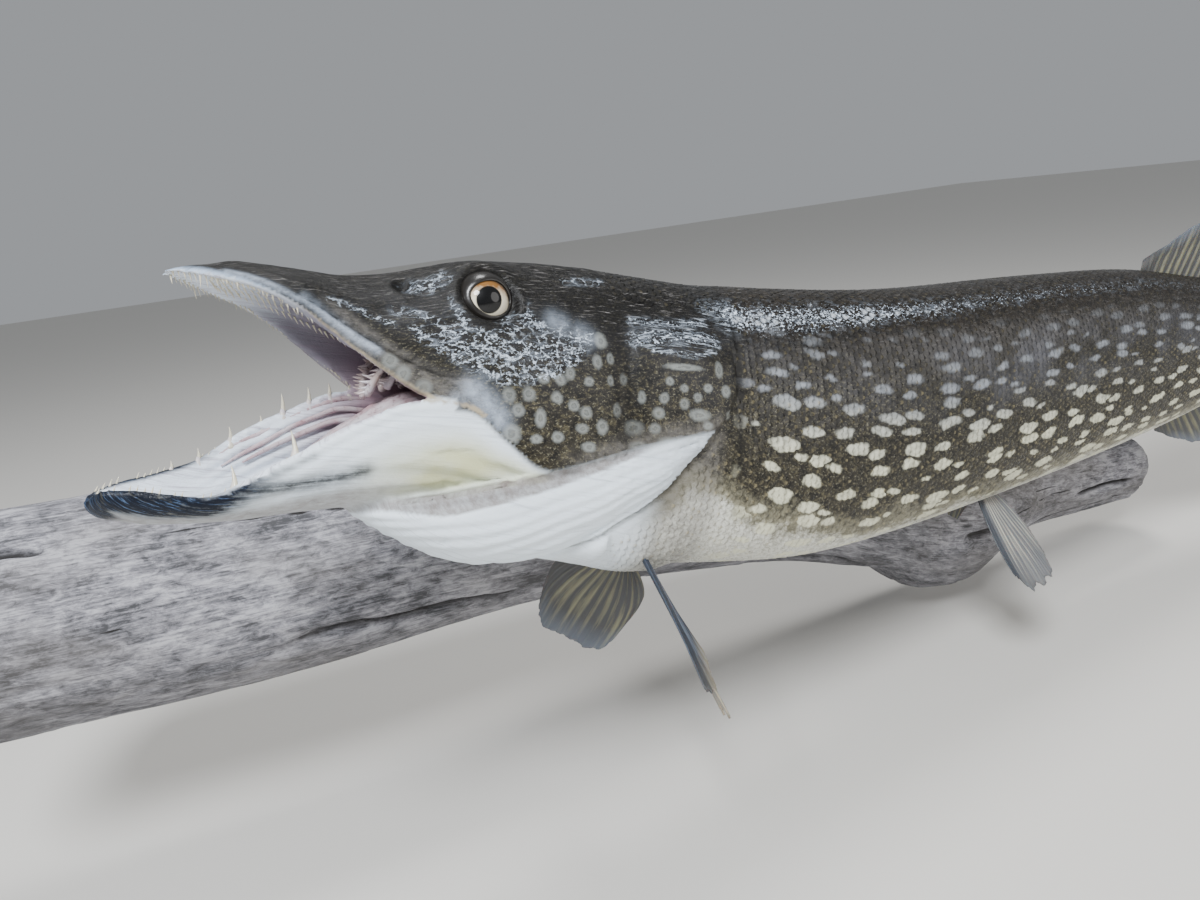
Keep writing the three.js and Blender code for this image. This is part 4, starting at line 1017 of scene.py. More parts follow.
def scale_material(sizes):
    """Lacquered scales: thin horn plates, glossy, each with a gold-cream fleck at its free edge."""
    material, add = new_material("lacquered_fish_scale")
    shared = fish_markings(add, sizes)
    mottle, speck, level, near = (shared[key] for key in ("mottle", "speck", "level", "web"))
    plate = add("SeparateXYZ", add("Attribute", attribute_name="Plate")["Vector"])
    chance, length, width = plate["X"], plate["Y"], plate["Z"]
    # some plates are darker than others, but not on a spot or the belly
    colour = add("Mix", add("MapRange", chance, 0.0, 1.0, -0.2, 0.5), shared["colour"], sizes.dark,
                 data_type="RGBA")
    colour = add("Mix", add("Math", shared["spot"], add("MapRange", level, -0.3, -0.6),
                            operation="MAXIMUM"), colour, shared["colour"], data_type="RGBA")
    # dark between the scales, and a gold-cream fleck on some free edges
    gap = add("Math", add("MapRange", length, 0.5, 0.22), add("MapRange", level, -0.7, -0.2, 0.1, 0.5),
              operation="MULTIPLY")
    fleck = add("Math", add("MapRange", length, 0.62, 0.92), add("MapRange", width, 0.3, 0.1),
                operation="MULTIPLY")
    fleck = add("Math", fleck, add("MapRange", chance, 0.45, 1.0, 0.0, 0.75), operation="MULTIPLY")
    low = add("Math", add("MapRange", level, 0.5, 0.1, 0.25, 1.0), add("MapRange", mottle, 0.56, 0.46),
              operation="MULTIPLY")
    # painted highlights: small silvery glint flakes scattered in a band along the upper side
    scale_glint = add("Math", speck, 0.75, operation="MULTIPLY")
    for layer, share in ((shared["cloud"], 0.7), (chance, 0.34), (near, 0.5)):
        scale_glint = add("Math", layer, share, scale_glint, operation="MULTIPLY_ADD")
    torn = add("Math", add("Math", speck, 0.5, operation="SUBTRACT"), 1.2, width,
               operation="MULTIPLY_ADD")
    shape = add("Math", add("MapRange", length, 0.35, 0.6), add("MapRange", torn, 0.34, 0.2),
                operation="MULTIPLY")
    scale_glint = add("Math", add("MapRange", scale_glint, 1.34, 1.46), shape, operation="MULTIPLY")
    scale_glint = add("Math", scale_glint, add("MapRange", near, 0.0, 0.25), operation="MULTIPLY")
    colour = painted(add, colour, (gap, add("MapRange", mottle, 0.35, 0.55, 0.3, 1.0), sizes.dark),
                     (fleck, low, sizes.fleck), (scale_glint, 0.8, sizes.scale_glint))
    rough = add("MapRange", chance, 0.0, 1.0, 0.26, 0.5)
    bump = add("Bump", {"Height": shared["relief"], "Strength": 0.35, "Distance": 0.0004})
    surface(add, {"Base Color": colour, "Roughness": rough, "Normal": bump, "Specular IOR Level": 0.25,
                  "Coat Weight": 0.1, "Coat Roughness": 0.16})
    return material


def fin_material(name, web, ray, tip, lead):
    """Dried fin: translucent webbing stiffened with resin, paler along the bony rays."""
    material, add = new_material(name)
    lines = add("Attribute", attribute_name="Ray")["Vector"]
    part = add("SeparateXYZ", lines)
    wave = add("Math", add("Math", part["X"], 2 * math.pi, operation="MULTIPLY"), operation="COSINE")
    streak, broad = (
        add("TexNoise", {"Vector": add("VectorMath", lines, scale, operation="MULTIPLY"), "Scale": 1.0,
                         "Detail": 5.0, "Roughness": 0.65})
        for scale in ((4.5, 2.2, 1.0), (0.62, 1.1, 1.0)))
    on_ray = add("Math", wave, 0.1, add("Math", streak, 0.55, operation="MULTIPLY"),
                 operation="MULTIPLY_ADD")
    on_ray = add("Math", on_ray, add("Math", broad, 0.75, operation="MULTIPLY"), operation="ADD")
    # pale along the rays and at the rim, with the first rays thick and dark
    colour = web
    for value, low, high, share, paint in ((on_ray, 0.62, 0.86, 0.9, ray), (part["Y"], 0.72, 1.0, 0.8, tip),
                                           (part["X"], 2.6, 1.2, 0.85, lead)):
        mask = add("MapRange", {"Value": value, "From Min": low, "From Max": high, "To Max": share})
        colour = add("Mix", mask, colour, paint, data_type="RGBA")
    bump = add("Bump", {"Height": streak, "Strength": 0.5, "Distance": 0.0006})
    surface(add, {"Base Color": colour, "Roughness": 0.45, "Normal": bump, "Coat Weight": 0.2,
                  "Coat Roughness": 0.2, "Subsurface Weight": 0.12, "Subsurface Scale": 0.002})
    return material


def eye_material(sizes):
    """Glass taxidermy eye: painted iris under clear glass, which gives one hard highlight."""
    material, add = new_material("glass_eye")
    gaze = add("SeparateXYZ", add("Attribute", attribute_name="Gaze")["Vector"])
    flat = add("CombineXYZ", gaze["X"], gaze["Y"])
    radius = add("VectorMath", flat, operation="LENGTH")["Value"]
    # the pupil is a little pointed towards the snout
    pear = add("Math", gaze["X"], 0.09, radius, operation="MULTIPLY_ADD")
    fibre = add("TexNoise", {"Vector": flat, "Scale": 0.55, "Detail": 5.0})
    high = add("Math", fibre, 5.0, gaze["Y"], operation="MULTIPLY_ADD")
    # the dark edge of the iris reaches further in at the top: painted shade of the brow
    outer = add("Math", gaze["Y"], 0.16, radius, operation="MULTIPLY_ADD")
    colour = sizes.iris_low
    for value, low, top, first, last, paint in (
            (high, 3.0, 8.6, 0.0, 1.0, sizes.iris_high), (outer, 8.6, 10.4, 0.0, 1.0, sizes.iris_edge_and_brow_shade),
            (pear, 5.4, 5.9, 1.0, 0.0, sizes.pupil)):
        mask = add("MapRange", value, low, top, first, last)
        colour = add("Mix", mask, colour, paint, data_type="RGBA")
    surface(add, {"Base Color": colour, "Roughness": 0.4, "Specular IOR Level": 0.1, "Coat Weight": 0.7,
                  "Coat Roughness": 0.015})
    return material


def mouth_material(name, low, high, deep, coat):
    """Wet-look painted flesh: resin over cast tissue, pale on the crests and dark in the folds."""
    material, add = new_material(name)
    place_ = add("TexCoord")["Object"]
    blot = add("TexNoise", {"Vector": place_, "Scale": 110.0, "Detail": 5.0})
    fine = add("TexNoise", {"Vector": place_, "Scale": 600.0, "Detail": 3.0})
    colour = add("Mix", add("MapRange", blot, 0.35, 0.65), low, high, data_type="RGBA")
    colour = add("Mix", add("MapRange", fine, 0.55, 0.75, 0.0, 0.6), colour, deep, data_type="RGBA")
    bump = add("Bump", {"Height": blot, "Strength": 0.5, "Distance": 0.0008})
    surface(add, {"Base Color": colour, "Roughness": 0.32, "Normal": bump, "Coat Weight": coat,
                  "Coat Roughness": 0.1})
    return material


def driftwood_material(sizes):
    """Weathered pine driftwood: grey bleached fibres, matt, with checks along the grain darkened by painted
    shade.
    """
    material, add = new_material("weathered_driftwood")
    grain = add("Attribute", attribute_name="Grain")["Vector"]
    height = add("SeparateXYZ", grain)["Z"]
    # fibres 1.1 mm thick, flecks of 4 mm and blotches of 17 mm and 55 mm, all longer along the grain
    fibre, fleck, blotch, broad = (
        add("TexNoise", {"Vector": add("VectorMath", grain, (1 / long_, 1 / thick, 1 / thick),
                                       operation="MULTIPLY"), "Scale": 1.0, "Detail": detail,
                         "Roughness": rough, "Distortion": distortion})
        for long_, thick, detail, rough, distortion in (
            (22, 1.1, 6.0, 0.7, 0.0), (9, 4.0, 6.0, 0.75, 0.6), (34, 17, 5.0, 0.62, 0.4),
            (110, 55, 3.0, 0.5, 0.0)))
    mixed = add("Math", blotch, 0.32, operation="MULTIPLY")
    for layer, share in ((fleck, 0.38), (fibre, 0.3)):
        mixed = add("Math", layer, share, mixed, operation="MULTIPLY_ADD")
    colour = add("ValToRGB", mixed, stops=((0.425, sizes.wood_dark), (0.495, sizes.wood_grey),
                                           (0.575, sizes.wood_light)))
    # painted shade: darker towards the bottom of the log
    low = add("Math", add("Math", blotch, 0.5, operation="SUBTRACT"), 50.0, height,
              operation="MULTIPLY_ADD")
    # thin checks come and go along the grain, and wide splits are dark all along; the near-black in them and
    # in the knot hole is painted shade
    wide, thin, _ = add("SeparateXYZ", add("Attribute", attribute_name="Split")["Vector"])
    thin = add("MapRange", add("Math", fibre, 0.5, thin, operation="MULTIPLY_ADD"), 1.0, 0.55)
    thin = add("Math", thin, add("MapRange", fleck, 0.3, 0.42), operation="MULTIPLY")
    split = add("Math", add("MapRange", wide, 0.25, 0.75), thin, operation="MAXIMUM")
    # brown-grey stain, painted shade towards the bottom of the log, and the painted shade of the cracks
    for mask, paint in ((add("MapRange", broad, 0.45, 0.65, 0.0, 0.5), sizes.wood_brown),
                        (add("MapRange", low, 5.0, -50.0, 0.0, 0.45), sizes.wood_dark),
                        (add("Math", split, 0.9, operation="MULTIPLY"), sizes.crack_shade)):
        colour = add("Mix", mask, colour, paint, data_type="RGBA")
    bump = add("Bump", {"Height": add("Math", mixed, split, operation="SUBTRACT"), "Strength": 0.6,
                        "Distance": 0.001})
    surface(add, {"Base Color": colour, "Roughness": 0.88, "Normal": bump})
    return material


# --- settings -----------------------------------------------------------------------------------
def colour_property(name, description, hex_colour):
    """Colour setting with its default given as a hex colour."""
    return FloatVectorProperty(name=name, description=description, subtype="COLOR", size=3,
                               default=linear(hex_colour)[:3], min=0, max=1)


class PikeSkinSettings(bpy.types.PropertyGroup):
    voxel: FloatProperty(name="Skin mesh size", description="Size of the skin's mesh cells",
                         default=0.0014, min=0.0008, max=0.004, subtype="DISTANCE", unit="LENGTH")
    back: colour_property("Back", "Colour along the back", "#241f1a")
    upper_flank: colour_property("Upper flank", "Colour above the side line", "#1f1d1a")
    flank: colour_property("Flank", "Olive brown of the sides", "#2c281f")
    low_flank: colour_property("Low flank", "Colour above the belly", "#8b8772")
    belly: colour_property("Belly", "Cream of the belly", "#d5d5cb")
    # also the painted shade of the creases, nostrils, eye sockets and gill slit
    dark: colour_property("Dark", "Near-black of mottling and creases", "#080706")
    speck: colour_property("Specks", "Cream-brown specks between the spots", "#6d664c")
    spot: colour_property("Low spots", "Cream spots of the lower flank", "#d8d7bd")
    spot_high: colour_property("High spots", "Bluish spots of the upper flank", "#969ba2")
    ring: colour_property("Cheek spots", "Pale spots of cheek and gill cover", "#8b8f8c")
    head: colour_property("Head", "Blue-black of the upper head", "#0f1012")
    streaks: colour_property("Streaks", "Grey fibres of head and back", "#868381")
    plate: colour_property("Jaw plate", "Grey-beige of the upper jaw plate", "#6f6c68")
    veil: colour_property("Veil", "Mauve-grey veil of the upper flank", "#5e6069")
    white: colour_property("Throat", "Bluish white of throat and jaw", "#ebf6ff")
    white_line: colour_property("Throat lines", "Grey lines in the white skin", "#98a0aa")
    # painted shade: grey-beige of the sunken throat band and of the lower jaw's underside
    strip: colour_property("Throat band", "Grey-beige band under the jaw", "#87817e")
    jaw_tint: colour_property("Jaw tint", "Yellow-green tint of the jaw's rear", "#cccd98")
    streak: colour_property("Jaw streak", "Dark olive streak of the lower jaw", "#1d1f20")
    # painted highlights: the bluish-white web of glints on cheek and gill cover and in the band along the
    # upper side
    glint: colour_property("Cheek web", "Bluish-white web of the cheek", "#dceafa")
    # painted bluish sheen of cheek and lip, and under the web of glints
    haze: colour_property("Cheek haze", "Bluish haze of cheek and lip", "#aab6c6")
    lip: colour_property("Lip", "Bluish-white lip of the snout", "#c6daf4")
    lip_rear: colour_property("Lip rear", "Cream edge of the upper jaw plate", "#b5a78c")
    # painted highlight: steel-blue glint lines on the jaw tip
    jaw_shine: colour_property("Jaw shine", "Steel-blue lines on the jaw tip", "#6681a8")
    jaw_tip: colour_property("Jaw tip", "Blue-black tip of the lower jaw", "#0a111e")
    mouth_front: colour_property("Mouth front", "Whitish mouth lining", "#e6eff9")
    mouth_middle: colour_property("Mouth middle", "Mauve mouth lining", "#b49ba6")
    # painted shade: the dark lining deep in the mouth, the shadowed roof and the dark gullet
    mouth_back: colour_property("Mouth back", "Dark mouth lining", "#5b3338")
    palate: colour_property("Palate", "Grey-mauve roof of the mouth", "#655c69")
    mouth_fold: colour_property("Mouth folds", "Folds of the lining", "#8d7f8d")
    throat: colour_property("Throat hole", "Dark of the gullet", "#120b0a")
    fleck: colour_property("Scale fleck", "Gold-cream fleck on each scale", "#b3a67c")
    # painted highlights: silvery glints on scales of the upper side
    scale_glint: colour_property("Silver scale", "Silvery scales of the upper side", "#c6ced6")
    spot_step: FloatVectorProperty(name="Spot spacing", size=2, default=(26.0, 10.0), min=2, max=80,
                                   description="Length and height of a spot's cell, in millimetres")


class PikeScaleSettings(bpy.types.PropertyGroup):
    rows: IntProperty(name="Rows", description="Rows of scales on each side, back to belly",
                      default=44, min=10, max=60)
    lift: FloatProperty(name="Lift", description="Height of a scale's free edge above the skin",
                        default=0.00062, min=0.0001, max=0.002, subtype="DISTANCE", unit="LENGTH")


class PikeEyeSettings(bpy.types.PropertyGroup):
    iris_low: colour_property("Lower iris", "Cream lower iris", "#ece3cb")
    iris_high: colour_property("Upper iris", "Amber upper iris", "#7d5527")
    # dark edge of the iris, wider at the top as painted shade of the brow
    iris_edge_and_brow_shade: colour_property("Iris edge", "Dark edge of the iris", "#2a2016")
    pupil: colour_property("Pupil", "Black pupil", "#050506")
    # dark skin round the eye, and painted shade of the brow where the lid covers the top of the glass
    lid_and_brow_shade: colour_property("Lid", "Dark skin ring round the eye", "#1a1714")


class PikeMouthSettings(bpy.types.PropertyGroup):
    tooth: colour_property("Tooth", "Ivory of the teeth", "#dcd5bd")
    gum: colour_property("Gum", "Pale flesh of gums and tooth roots", "#cfc8cc")
    tongue: colour_property("Tongue", "Pinkish mauve of the tongue", "#b8979c")
    tongue_deep: colour_property("Tongue folds", "Dark red between folds", "#5e2427")
    gill: colour_property("Gill arch", "Cream-pink of the gill arches", "#cbb3a8")


class PikeFinSettings(bpy.types.PropertyGroup):
    web: colour_property("Web", "Dark web of the fins", "#333436")
    ray: colour_property("Ray", "Olive along the rays", "#7f7c5e")
    tip: colour_property("Tip", "Bluish edge of the fins", "#5b6472")
    lead: colour_property("First rays", "Blue-black of the near breast fin", "#1f2836")
    # painted highlight: steel-blue lines along the near breast fin's rays
    lead_ray_highlight: colour_property("Ray of the near fin", "Steel blue along its rays", "#8592a6")
    frayed: colour_property("Frayed tip", "Olive cream of the near breast fin's tip", "#a39b86")
    pale_web: colour_property("Pale web", "Grey web of the near belly fin", "#5f6164")
    pale_ray: colour_property("Pale ray", "Cream rays of the near belly fin", "#a9a698")


class PikeWoodSettings(bpy.types.PropertyGroup):
    wood_light: colour_property("Light fibres", "Bleached fibres", "#b2b1b6")
    wood_grey: colour_property("Grey", "Weathered grey", "#7f7e84")
    # dark grain, and the painted shade towards the bottom of the log
    wood_dark: colour_property("Dark fibres", "Dark grain", "#444447")
    wood_brown: colour_property("Stain", "Brown-grey stain", "#6a6662")
    # painted shade: the near-black inside the checks, splits and knot hole
    crack_shade: colour_property("Crack", "Dark inside the cracks", "#14110e")


class PikeStageSettings(bpy.types.PropertyGroup):
    floor: colour_property("Floor", "Pale studio floor", "#d9d6d0")
    lens: FloatProperty(name="Lens", description="Focal length of the camera in millimetres",
                        default=25.5, min=10, max=200)


GROUPS = {"pike_skin": PikeSkinSettings, "pike_scales": PikeScaleSettings, "pike_eyes": PikeEyeSettings,
          "pike_mouth": PikeMouthSettings, "pike_fins": PikeFinSettings, "pike_wood": PikeWoodSettings,
          "pike_stage": PikeStageSettings}


# --- operators ----------------------------------------------------------------------------------
def finished(obj, material, slot, *nodes):
    """Give a piece its material and body, and hide the solids that it stands for. The slot is not used."""
    obj.data.materials.clear()
    obj.data.materials.append(material)
    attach(obj, "root")
    if nodes:
        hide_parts(*nodes)
    return obj


def read_vectors(items, key):
    """One vector of each of a mesh's items, as rows."""
    values = np.empty(len(items) * 3, np.float32)
    items.foreach_get(key, values)
    return values.reshape(-1, 3).astype(float)


def applied(obj, name, context):
    """New object with the modifiers of the old one applied; the old one is removed."""
    mesh = bpy.data.meshes.new_from_object(obj.evaluated_get(context.evaluated_depsgraph_get()))
    bpy.data.objects.remove(obj)
    made = bpy.data.objects.new(name, mesh)
    context.scene.collection.objects.link(made)
    return made


class PIKE_OT_skin(bpy.types.Operator):
    """Build the one skin over head, jaw, throat and body"""
    bl_idname = "pike.skin"
    bl_label = "Skin"

    def execute(self, context):
        sizes = context.scene.pike_skin
        shells = [closed_loft([arch_ring(s) for s in spread(0, HEAD_END + 2, 2)]),
                  closed_loft([jaw_ring(s) for s in spread(-24, 150, 2)]),
                  closed_loft([breast_ring(s) for s in spread(128, HEAD_END + 4, 2)]),
                  closed_loft([body_ring(s) for s in spread(HEAD_END - 1, TRUNK_END, 4)]
                              + [body_ring(TRUNK_END, inset=k) for k in (2, 5, 8)])]
        for side in (-1, 1):
            shells.append(closed_loft([cover_ring(s, side) for s in spread(176, 246.6, 2)]))
            shells.append(closed_loft([bib_ring(s, side) for s in spread(70, 234, 2)]))
        rough = make_mesh("skin_shells", *join_shells(shells))
        remesh = rough.modifiers.new("remesh", "REMESH")
        remesh.mode, remesh.voxel_size = "VOXEL", sizes.voxel
        soft = rough.modifiers.new("smooth", "SMOOTH")
        soft.factor, soft.iterations = 0.5, 5
        skin = applied(rough, "skin", context)
        # even out the step where the cheek meets the gill cover and the trunk
        s, b, c, _ = unplace(read_vectors(skin.data.vertices, "co") / MM)
        neck = (np.abs(s - 188) < 20) & (np.abs(b) > 18) & (c > -22)
        group = skin.vertex_groups.new(name="neck")
        group.add(np.nonzero(neck)[0].tolist(), 1.0, "REPLACE")
        even = skin.modifiers.new("even_neck", "SMOOTH")
        even.factor, even.iterations, even.vertex_group = 0.5, 60, "neck"
        skin = applied(skin, "skin", context)

        mesh = skin.data
        points = read_vectors(mesh.vertices, "co") / MM
        normal = read_vectors(mesh.vertex_normals, "vector")
        s, b, c, (along, right, up) = unplace(points)
        local = np.stack([(normal * axis).sum(-1) for axis in (along, right, up)], -1)
        move = sculpt(s, b, c, local, points)
        points = points + normal * move[:, None]
        mesh.vertices.foreach_set("co", (points * MM).astype(np.float32).ravel())
        for key, value in marks(s, b, c, local).items():
            store(mesh, key, value)
        mesh.shade_smooth()
        mesh.update()
        group = skin.vertex_groups.new(name="body")
        group.add(np.nonzero(s > 268)[0].tolist(), 1.0, "REPLACE")
        thin = skin.modifiers.new("thin_under_scales", "DECIMATE")
        thin.ratio, thin.vertex_group, thin.vertex_group_factor = 0.5, "body", 8
        skin = applied(skin, "skin", context)
        finished(skin, skin_material(sizes), "skin", *FLESH)
        return {"FINISHED"}


class PIKE_OT_scales(bpy.types.Operator):
    """Lay overlapping scales over the body, in two joined meshes for each side"""
    bl_idname = "pike.scales"
    bl_label = "Scales"

    def execute(self, context):
        sizes = context.scene.pike_scales
        material = scale_material(context.scene.pike_skin)
        for side, name in ((-1, "scales_left"), (1, "scales_right")):
            for piece in scale_coat(name, side, sizes.rows, sizes.lift / MM):
                finished(piece, material, "skin")
        return {"FINISHED"}


def body_point(s, turn, side):
    """Surface of the body at s and turn, from -pi/2 at the belly to pi/2 at the back."""
    across, height = squared(np.cos(turn), BODY_ROUNDNESS), squared(np.sin(turn), BODY_ROUNDNESS)
    reach = np.where(height > 0, curve(s, BACK), -curve(s, BELLY))
    b, c = side * curve(s, BODY_WIDTH) * across, reach * height
    return place(s, b, c), b, c


COAT_ENDS = (183, 874)
COAT_PARTING = 420
GIRTH_POINTS = 241
# length of a column of scales, as a share of the width of a scale
COLUMN_STEP = 0.92
# one scale from its root to its free edge, which turns down at the last station
SCALE_MAP = np.array([0.0, 0.42, 0.76, 1.0, 1.0])
SCALE_REACH = np.array([0.0, 0.42, 0.76, 1.0, 1.02])
SCALE_HALF = np.array([0.42, 0.56, 0.52, 0.30, 0.30])
SCALE_RISE = np.array([-0.75, -0.15, 0.30, 0.42, -0.45])
SCALE_ROUNDING = np.array([0, 0.2, 0.6, 1, 1])


def scale_roots(side, rows):
    """Where the scales of one side are rooted, column by column: s, turn, width and length of each."""
    fine = np.linspace(-math.pi / 2, math.pi / 2, GIRTH_POINTS)
    columns, at = [], float(COAT_ENDS[0])
    while at < COAT_ENDS[1]:
        ring, _, _ = body_point(np.full(GIRTH_POINTS, at), fine, side)
        steps = np.linalg.norm(np.diff(ring, axis=0), axis=1)
        run = np.concatenate([[0], np.cumsum(steps)])
        # every other column is shifted by half a scale
        share = (np.arange(rows) + (0.25 if len(columns) % 2 else 0.75)) / rows
        columns.append([np.full(rows, at), np.interp(share * run[-1], run, fine),
                        np.full(rows, run[-1] / rows), np.full(rows, COLUMN_STEP * run[-1] / rows)])
        at += COLUMN_STEP * steps.sum() / rows
    return [np.concatenate(values) for values in zip(*columns)]


def under_cover(s, c):
    """Where the gill cover and its membrane lie over the body, which has no scales there."""
    top, low = curve(s, COVER_TOP), curve(s, COVER_LOW) - 3
    covered = (s < 251) & (c < top + 3) & (c > np.where(s < 234, curve(s, BIB_LOW) - 3, low))
    return covered & ~((s > 240) & ((c > top + 2) | (c < low)))


def scale_frames(s, turn, side):
    """Place of each scale, and the directions along the body, up its side and out of it."""
    here, _, _ = body_point(s, turn, side)
    ahead = body_point(np.minimum(s + 2, TRUNK_END), turn, side)[0] - body_point(s - 2, turn, side)[0]
    above = body_point(s, np.minimum(turn + 0.02, math.pi / 2), side)[0] - body_point(
        s, np.maximum(turn - 0.02, -math.pi / 2), side)[0]
    ahead /= np.linalg.norm(ahead, axis=1)[:, None]
    above -= ahead * (above * ahead).sum(-1)[:, None]
    above /= np.linalg.norm(above, axis=1)[:, None]
    out = np.cross(ahead, above)
    centre = place(s, 0 * s, 0 * s)
    out *= np.sign(((here - centre) * out).sum(-1))[:, None]
    return here, ahead, above, out


def scale_coat(name, side, rows, lift):
    """Joined scales of one side: each a domed plate whose free edge turns down to the skin.

    They come as a front and a rear piece, so that neither is too heavy.
    """
    rng = np.random.default_rng(7 + side)
    s, turn, wide, long_ = scale_roots(side, rows)
    s = s + rng.normal(0, 0.05, s.size) * long_
    keep = ~under_cover(s, body_point(s, turn, side)[2])
    s, turn, wide, long_ = s[keep], turn[keep], wide[keep], long_[keep]
    here, ahead, above, out = scale_frames(s, turn, side)
    twist = rng.normal(0, 0.07, s.size)[:, None]
    ahead, above = (ahead * np.cos(twist) + above * np.sin(twist),
                    above * np.cos(twist) - ahead * np.sin(twist))

    # each scale reaches over the one behind it and beside it, and tilts its own way
    v = np.linspace(-1, 1, 4)
    uu, vv = np.meshgrid(SCALE_REACH, v, indexing="ij")
    round_end = 1 - 0.20 * vv ** 2 * SCALE_ROUNDING[:, None]
    along = (uu * round_end - 0.35)[None] * 1.55 * long_[:, None, None]
    across = (vv * SCALE_HALF[:, None])[None] * 1.12 * wide[:, None, None]
    tilt = rng.normal(1, 0.16, s.size)[:, None, None]
    size_lift = np.clip(wide / 4.2, 0.6, 1.2)[:, None, None]
    up = lift * (SCALE_RISE[:, None] - 0.22 * vv ** 2)[None] * tilt * size_lift - 0.42
    points = (here[:, None, None] + ahead[:, None, None] * along[..., None]
              + above[:, None, None] * across[..., None] + out[:, None, None] * up[..., None])
    size = SCALE_MAP.size * v.size
    one = grid_quads(SCALE_MAP.size, v.size)[:, ::-side]
    flat = points.reshape(-1, 3)

    # the markings, and the place of each point on its own scale
    ps, pb, pc, _ = unplace(flat)
    pb = np.where(np.abs(pb) < 0.5, side * 0.5, pb)
    normal = np.repeat(np.stack([0 * s, side + 0 * s, 0 * s], -1), size, 0)
    attributes = marks(ps, pb, pc, normal)
    attributes["Tone"][:, 1] = 0
    chance = np.repeat(rng.random(s.size), size)
    uv_u, uv_v = (grid.ravel() for grid in np.meshgrid(SCALE_MAP, v / 2, indexing="ij"))
    attributes["Plate"] = np.stack([chance, np.tile(uv_u, s.size), np.tile(np.abs(uv_v), s.size)], -1)
    # every scale has its own small patch of the map
    root = np.stack([0.02 + 0.96 * (s - 180) / 700, 0.02 + 0.96 * (turn / math.pi + 0.5)], -1)
    patch = np.stack([(uv_u - 0.5) * 0.003, uv_v * 0.003], -1)
    uv = (root[:, None] + patch[None]).reshape(-1, 2)
    for part, mine in (("front", s < COAT_PARTING), ("rear", s >= COAT_PARTING)):
        quads = (one[None] + (np.arange(mine.sum()) * size)[:, None, None]).reshape(-1, 4)
        each = np.repeat(mine, size)
        yield make_mesh(f"{name}_{part}", flat[each], quads,
                        {key: value[each] for key, value in attributes.items()}, uv[each])


def on_sphere(axes, polar, turn):
    """Points of a unit sphere, polar away from its axis and turned round it."""
    axis, across, high = axes
    return axis * np.cos(polar) + (across * np.cos(turn) + high * np.sin(turn)) * np.sin(polar)


def eye_axes(side):
    """Directions of an eye: out of the head, along it and upward."""
    _, along, right, up = frames(np.array(EYE_AT[0]))
    axis = unit(right * side + up * 0.16 - along * 0.10)
    across = unit(along - axis * (along @ axis))
    high = unit(np.cross(axis, across))
    return axis, across, high if high @ up > 0 else -high


def glass_ball(axes):
    """Points of the glass from its centre, and the place of each on the painted iris."""
    polar = np.linspace(0.02, math.pi - 0.02, 40)[:, None, None]
    turn = np.linspace(0, 2 * math.pi, 64, endpoint=False)[None, :, None]
    ball = on_sphere(axes, polar, turn)
    axis, across, high = axes
    gaze = np.stack([(ball @ across), (ball @ high), (ball @ axis)], -1) * EYE_RADIUS
    # the iris sits low, and the back of the ball shows none of it
    gaze[..., 1] += 2.9
    gaze[..., 0] = np.where(gaze[..., 2] < 0, 20, gaze[..., 0])
    return ball * (EYE_RADIUS - 0.15), gaze.reshape(-1, 3)


def lid_and_brow_shade_rings(axes, rows, columns):
    """Dark lid drawn over the glass, widest above, where the brow hangs over it; there the lid stands in for
    the brow's shadow as painted shade.
    """
    turn = np.linspace(0, 2 * math.pi, rows, endpoint=False)[:, None, None]
    small = np.linspace(0, 2 * math.pi, columns, endpoint=False)[None, :, None]
    opening = curve(np.sin(turn), LID_OPENING) + 1.1 * np.cos(turn)
    inner = np.arcsin(opening / EYE_RADIUS)
    polar = inner + (1.4 - inner) * (0.5 - 0.5 * np.cos(small))
    return on_sphere(axes, polar, turn) * (EYE_RADIUS + 0.2 + 0.9 * np.sin(small))


def torus_quads(rows, columns):
    """Faces of a grid that closes both ways."""
    r, c = np.meshgrid(np.arange(rows), np.arange(columns), indexing="ij")
    r2, c2 = (r + 1) % rows, (c + 1) % columns
    corners = [r * columns + c, r * columns + c2, r2 * columns + c2, r2 * columns + c]
    return np.stack(corners, -1).reshape(-1, 4)


class PIKE_OT_eyes(bpy.types.Operator):
    """Set the glass eyes and the dark ring round each: skin, and over the top of the glass painted shade of
    the brow
    """
    bl_idname = "pike.eyes"
    bl_label = "Eyes"

    def execute(self, context):
        sizes = context.scene.pike_eyes
        glass = eye_material(sizes)
        lid_and_brow_shade_material = mouth_material("eyelid_and_brow_shade", sizes.lid_and_brow_shade, sizes.lid_and_brow_shade, sizes.pupil, 0.2)
        for side, word in ((-1, "left"), (1, "right")):
            centre, axes = place(EYE_AT[0], side * EYE_AT[1], EYE_AT[2]), eye_axes(side)
            ball, gaze = glass_ball(axes)
            eye = make_mesh(f"eye_{word}_glass", *closed_loft(centre + ball), {"Gaze": gaze})
            finished(eye, glass, "eye", f"eye_{word}")
            # the dark lid is skin round the eye and, over the top of the glass, painted shade of the brow
            rings = centre + lid_and_brow_shade_rings(axes, 72, 14)
            lid_and_brow_shade = make_mesh(f"eyelid_{word}", rings.reshape(-1, 3), torus_quads(72, 14))
            finished(lid_and_brow_shade, lid_and_brow_shade_material, "skin")
        return {"FINISHED"}


def spike(root, tip, radius, sides, bend=0.0):
    """Curved tooth from root to tip."""
    t = np.linspace(0, 1, 6)[:, None]
    path = root + (tip - root) * t + bend * (t * (1 - t)) * 2
    return tube(path, radius * (1 - 0.93 * t[:, 0] ** 1.3), sides)


